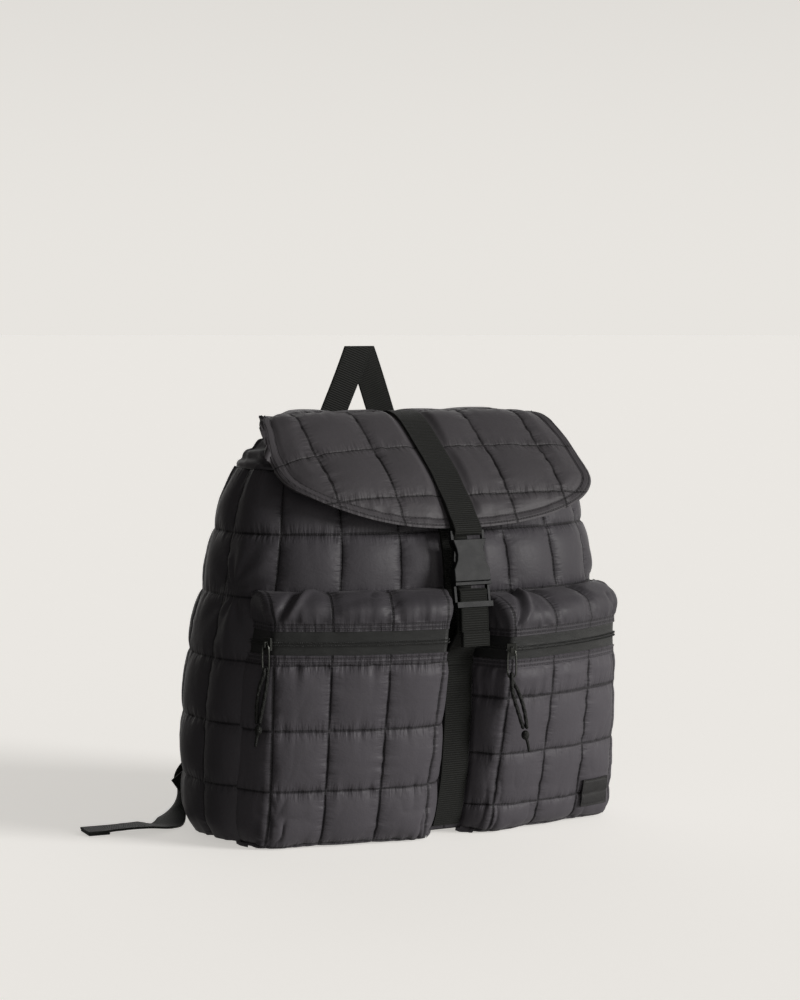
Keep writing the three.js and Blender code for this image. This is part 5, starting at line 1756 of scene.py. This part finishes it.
@dataclass
class LowerStrap:
    """The webbing from the anchor through the adjuster to the free end, which is folded double."""

    pad: ShoulderPad
    anchor_height: float = 22.0
    anchor_off: float = 28.0
    gap: float = 2.25
    ring: float = 2.9
    middle_bar: float = 9.936
    low_bar: float = 21.6
    wall: float = 1.7

    def tail(self, on: Callable[[float, float], Array]) -> tuple[list[Array], list[Sequence[float]]]:
        """Returns the free end's places and faces.

        Args:
            on: Gives the place for a length down the adjuster and one out of it.

        Returns:
            The places, and the way that the face looks at each.
        """
        toward = (0.0, -1.0, 0.0)
        if self.pad.side is Side.RIGHT:
            return [on(29.6, 3.9), on(41.6, 5.4), on(57.6, 6.4)], [toward] * 3
        falling = [(-140, 121, 36), (-154, 116.5, 19), (-168, 101, 8)]
        lying = [(-181, 78, 2.6), (-194, 65, 2.4), (-213, 61, 5.5), (-229, 67, 4.4)]
        lying += [(-241, 72, 3.1), (-259, 74, 2.95)]
        faces = [toward, toward, (0.2, -0.9, -0.4), (0.2, -0.5, -0.8)] + [(0.0, 0.0, -1.0)] * len(lying)
        return [on(29.6, 3.9), *(np.array(place) for place in falling + lying)], faces

    def build(self) -> None:
        """Lays the webbing and its folded end."""
        end, down, out = self.pad.end_frame()

        def on(length: float, lift: float) -> Array:
            """Returns a place by its length down the adjuster and its distance out of it."""
            return end + down * (length + self.gap) + out * lift

        sign = self.pad.side.value
        bag = self.pad.bag
        seam = bag.point(np.array(bag.seam_angle), np.array(self.anchor_height)) * (sign, 1, 1)
        anchor = seam + np.array([sign * 0.64, 0.77, 0.0]) * self.anchor_off
        start = on(self.low_bar + 6, -self.ring - 0.4)
        places = [anchor + (start - anchor) * share for share in (0, 0.35, 0.7, 1)]
        places.append(on(self.low_bar - 1, -self.ring - 0.2))
        faces: list = [(0.0, 1.0, 0.0)] * 5
        for turn in np.linspace(-0.2, 1.2, 7) * math.pi:
            places.append(on(self.middle_bar - self.ring * math.sin(turn), -self.ring * math.cos(turn)))
            faces.append(down * math.sin(turn) + out * math.cos(turn))
        places.append(on(self.low_bar - 1, self.ring + 0.2))
        faces.append((0.0, -1.0, 0.0))
        more, more_faces = self.tail(on)
        label = self.pad.side.label
        Strap(
            f"{label}_lower_webbing",
            np.array(places + more),
            np.array(faces + more_faces, float),
            thickness=self.wall,
            pace=1.5,
        ).build(f"{label}_lower_strap")
        last = np.array(more_faces[-1], float)
        fold = np.array([more[-2] + (more[-1] - more[-2]) * share for share in (0.0, 0.5, 0.985)])
        fold = fold + last * (self.wall + 0.05)
        Strap(f"{label}_webbing_fold", fold, np.tile(last, (3, 1)), thickness=self.wall).build()


@dataclass
class Tube:
    """A round cord along a smooth line, closed at both ends, with the lay of its strands."""

    name: str
    points: Array
    radius: float
    strands: int = 3
    lay: float = 7.0
    pace: float = 0.7

    def build(self, look: Finish, slot: str, *nodes: str) -> bpy.types.Object:
        """Shapes the cord.

        Args:
            look: Its finish.
            slot: The record's material slot; not used.
            nodes: CAD nodes that it stands for.

        Returns:
            The cord.
        """
        line = spline(self.points, self.pace)
        along = unit(np.gradient(line, axis=0))
        side = unit(np.cross(along, np.array([0.31, 0.87, 0.11])))
        other = np.cross(along, side)
        u, v = shares(17, len(line))
        turn = u * TURN
        length = v * len(line) * self.pace
        lobes = 1 + 0.1 * np.cos(self.strands * turn + TURN * length / self.lay)
        cap = np.sqrt(np.clip(np.minimum(length, len(line) * self.pace - length) / self.radius, 0.02, 1))
        reach = (self.radius * lobes * cap)[..., None]
        ring = np.cos(turn)[..., None] * side[:, None] + np.sin(turn)[..., None] * other[:, None]
        places = line[:, None] + reach * ring
        obj = Sheets.from_grid(self.name, Grid(u, v, places), cloth=(u * 7, length), closed=True)
        Sheets.capped(obj, 70)
        return finish_piece(obj, look, slot, *nodes)


@dataclass
class PullCord:
    """The cord loop that hangs from a slider's wire, down to its knot."""

    pocket: ZippedPocket
    share: float
    swing: float
    strand: float = 1.1
    wire: float = 0.85
    length: float = 24.0
    loop: float = 42.0
    plane: float = 3.6

    def frame(self) -> tuple[Array, Array]:
        """Returns the place on the zip at the pocket's edge and the way out of it."""
        shape = self.pocket.shape
        row = {name: np.array([value]) for name, value in self.pocket.zip_rows(0.0).items()}
        here, before, after = (
            shape.plan(row, np.array([self.share + step]))[0] * (shape.side.value, 1, 1)
            for step in (0.0, -0.1, 0.03)
        )
        out = -(unit(before - here) + unit(after - here))
        out[2] = 0
        return here, unit(out)

    def build(self) -> None:
        """Lays the cord through the wire."""
        at, out = self.frame()
        side = np.cross(out, (0.0, 0.0, 1.0)) * -1.0
        low = -self.length + 1.7
        turn = self.wire + self.strand + 0.6
        knot = low - self.loop
        route = [
            (self.swing - self.strand - 0.3, knot, 0.0),
            (self.swing * 0.7 - 2.6, low - self.loop * 0.65, 1.0),
            (self.swing * 0.3 - 2.4, low - self.loop * 0.3, 2.0),
            (0.0, low - 2, turn),
            (0.0, low + turn * 0.72, turn * 0.72),
            (0.0, low + turn, 0.0),
            (0.0, low + turn * 0.72, -turn * 0.72),
            (0.0, low - 2, 0.2 - turn),
            (self.swing * 0.3 + 2.4, low - self.loop * 0.3, -0.6),
            (self.swing * 0.7 + 2.6, low - self.loop * 0.65, 0.0),
            (self.swing + self.strand + 0.3, knot, 0.0),
        ]
        points = np.array([at + side * i + np.array([0, 0, k]) + out * (self.plane + o) for i, k, o in route])
        label = self.pocket.shape.side.label
        low_corner, high_corner = (np.array(corner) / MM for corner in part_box(f"{label}_pull_cord"))
        points += (low_corner + high_corner) / 2 - (points.min(0) + points.max(0)) / 2
        Tube(f"{label}_cord", points, self.strand + 0.45).build(Braid(), "cord", f"{label}_pull_cord")


@dataclass
class GrabHandle:
    """One length of webbing folded to an upturned V behind the lid."""

    foot: float = 286.0
    top: float = 398.0
    half_foot: float = 58.0
    half_top: float = 14.5
    shift: float = 3.0
    lean: float = 5.0
    bend: float = 323.5
    webbing: float = 25.0
    wall: float = 1.5

    def build(self) -> None:
        """Shapes both legs; the left one laps over the right one at the fold."""
        _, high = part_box("grab_handle")
        middle = high[1] / MM - self.wall / 2 - 0.1
        rise = math.hypot(self.top - self.foot, self.half_foot - self.half_top)
        run, climb = (self.half_foot - self.half_top) / rise, (self.top - self.foot) / rise
        breadth = self.webbing / climb
        for side, lap in ((Side.LEFT, -0.8), (Side.RIGHT, 0.1)):
            u, v = shares(13, 91)
            z = self.foot + v * (self.top - self.foot)
            outer = self.half_foot + (self.half_top - self.half_foot) * v
            inner = np.maximum(outer - breadth, -self.half_top + 1.0)
            x = side.value * (inner + (outer - inner) * u) + self.shift
            back = middle - ramp(z, self.bend - 6, self.top) * self.lean
            back = back + lap * ramp(z, self.bend, self.top - 15)
            back = back + 0.35 * np.sin((u - 0.5) * 3.0 + v * 5)
            grid = Grid(u, v, np.stack([x, back, z], -1), flip=side is Side.LEFT)
            length = (z - self.foot) * climb - side.value * (x - self.shift) * run
            obj = Sheets.from_grid(
                f"handle_{side.label}_leg",
                grid,
                cloth=(u * self.webbing, length),
                wall=self.wall,
                centred=True,
            )
            Sheets.selvedged(obj)
            finish_piece(obj, Webbing(), "webbing", "grab_handle")


# Light, floor and camera


@dataclass
class Studio:
    """The pale studio: camera at the photograph's view, key light, weak fill behind, surround and floor."""

    camera_place: tuple[float, float, float] = (-1.0908, -1.9679, 0.427)
    heading: float = 28.9
    pitch: float = 3.98
    lens: float = 97.2
    backdrop: Colour = (0.806, 0.783, 0.745)
    screen_turn: float = -12.0
    screen_light: float = 0.12
    overhead_light: float = 0.12
    floor_light: float = 0.42
    key_way: tuple[float, float, float] = (0.60, -0.75, 0.28)
    key_spread: float = 20.0
    key_power: float = 2.2
    fill_way: tuple[float, float, float] = (0.45, 0.85, 0.22)
    fill_power: float = 0.4

    def build_camera(self) -> None:
        """Adds the camera."""
        data = bpy.data.cameras.new("view")
        data.lens = self.lens
        data.sensor_width = 36.0
        data.clip_end = 50.0
        camera = bpy.data.objects.new("view", data)
        camera.location = self.camera_place
        camera.rotation_euler = (math.radians(90 - self.pitch), 0.0, math.radians(-self.heading))
        bpy.context.scene.collection.objects.link(camera)
        bpy.context.scene.camera = camera

    def add_sun(self, name: str, way: tuple[float, ...], spread: float, power: float, colour: Colour) -> None:
        """Adds a far lamp.

        Args:
            name: The lamp's name.
            way: The direction that it stands in, seen from the bag.
            spread: Its angle in degrees, which softens the shadow.
            power: Its strength in watts per square metre.
            colour: Its colour.
        """
        data = bpy.data.lights.new(name, "SUN")
        data.angle = math.radians(spread)
        data.energy = power
        data.color = colour
        lamp = bpy.data.objects.new(name, data)
        flat = math.hypot(way[0], way[1])
        lamp.rotation_euler = (math.atan2(flat, way[2]), 0.0, math.atan2(way[0], -way[1]))
        bpy.context.scene.collection.objects.link(lamp)

    def build_world(self) -> None:
        """Surrounds the bag with pale light, held back by a dark screen on its left, overhead and below."""
        world = bpy.data.worlds.new("studio")
        world.use_nodes = True
        tree = world.node_tree
        ground = tree.nodes["Background"]
        ground.inputs["Color"].default_value = (*self.backdrop, 1.0)
        place = tree.nodes.new("ShaderNodeTexCoord")
        turn = math.radians(self.heading + self.screen_turn)
        screens = [
            ((-math.cos(turn), math.sin(turn), 0.0), 0.22, 0.75, self.screen_light),
            ((0.0, 0.0, 1.0), 0.0, 0.65, self.overhead_light),
            ((0.0, 0.0, -1.0), 0.02, 0.12, self.floor_light),
        ]
        strength: bpy.types.NodeSocket | float = 1.0
        for way, start, end, light in screens:
            toward = tree.nodes.new("ShaderNodeVectorMath")
            toward.operation = "DOT_PRODUCT"
            toward.inputs[1].default_value = way
            tree.links.new(place.outputs["Generated"], toward.inputs[0])
            shade = tree.nodes.new("ShaderNodeMapRange")
            shade.interpolation_type = "SMOOTHSTEP"
            for name, value in {"From Min": start, "From Max": end, "To Min": 1.0, "To Max": light}.items():
                shade.inputs[name].default_value = value
            tree.links.new(toward.outputs["Value"], shade.inputs["Value"])
            product = tree.nodes.new("ShaderNodeMath")
            product.operation = "MULTIPLY"
            tree.links.new(shade.outputs["Result"], product.inputs[0])
            if isinstance(strength, float):
                product.inputs[1].default_value = strength
            else:
                tree.links.new(strength, product.inputs[1])
            strength = product.outputs[0]
        tree.links.new(strength, ground.inputs["Strength"])
        bpy.context.scene.world = world

    def build(self) -> None:
        """Adds the world, the lamps and the floor."""
        self.build_world()
        self.add_sun("key", self.key_way, self.key_spread, self.key_power, (1.0, 0.985, 0.965))
        self.add_sun("fill", self.fill_way, 60.0, self.fill_power, (1.0, 1.0, 1.0))
        bpy.ops.mesh.primitive_plane_add(size=400)
        floor = bpy.context.active_object
        floor.name = floor.data.name = "floor"
        floor.data.materials.append(FloorPaint().material())
        floor.visible_diffuse = False
        floor.visible_glossy = False
        view = bpy.context.scene.view_settings
        view.view_transform = "Standard"
        view.look = "None"


FRAME: dict = {}


def build_small_parts() -> None:
    """Finishes the buckle, base, sliders, wires, knots, adjusters and anchors."""
    plastic = Moulded("buckle_plastic", (0.0085, 0.0093, 0.0101), roughness=0.42, shine=0.19)
    metal = Moulded("dark_metal", (0.05, 0.052, 0.048), roughness=0.32, metallic=0.7)
    wire = Moulded("wire_metal", (0.085, 0.088, 0.08), roughness=0.26, metallic=0.8)
    cloth = PanelCloth("anchor_cloth", mapped=False)
    parts = [
        Softened("buckle_socket", "buckle_plastic", plastic, bevel=0.7),
        Softened("buckle_plug", "buckle_plastic", plastic, bevel=0.5),
        Softened("base_panel", "panel_fabric", PanelCloth("base_cloth", mapped=False), bevel=1.2),
    ]
    for side in Side:
        label = side.label
        parts += [
            Softened(f"{label}_slider", "dark_metal", metal, bevel=0.4),
            Softened(f"{label}_wire_pull", "dark_metal", wire, rounds=2),
            Softened(f"{label}_pull_knot", "cord", Braid(), rounds=1),
            Softened(f"{label}_strap_adjuster", "buckle_plastic", plastic, bevel=0.5),
            Softened(f"{label}_strap_anchor", "panel_fabric", cloth, bevel=0.5),
        ]
    for part in parts:
        part.build()


def main() -> None:
    """Builds every piece in order."""
    FRAME.update(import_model())
    bpy.ops.object.select_all(action="DESELECT")
    studio = Studio()
    studio.build_camera()
    bag, lid = BagShape(), LidShape()
    body = QuiltedBody(bag)
    body.build_wrap()
    body.build_panel()
    body.build_collar()
    QuiltedLid(lid).build()
    front = FrontHardware(bag, lid)
    front.build_lid_strap()
    front.build_tail()
    front.build_centre()
    for side, share, swing in ((Side.LEFT, 2.06, -8.0), (Side.RIGHT, 1.0, 11.0)):
        pocket = ZippedPocket(PocketShape(bag, side))
        pocket.build()
        PullCord(pocket, share, swing).build()
        pad = ShoulderPad(bag, side)
        pad.build()
        LowerStrap(pad).build()
    GrabHandle().build()
    build_small_parts()
    studio.build()


if __name__ == "__main__":
    main()
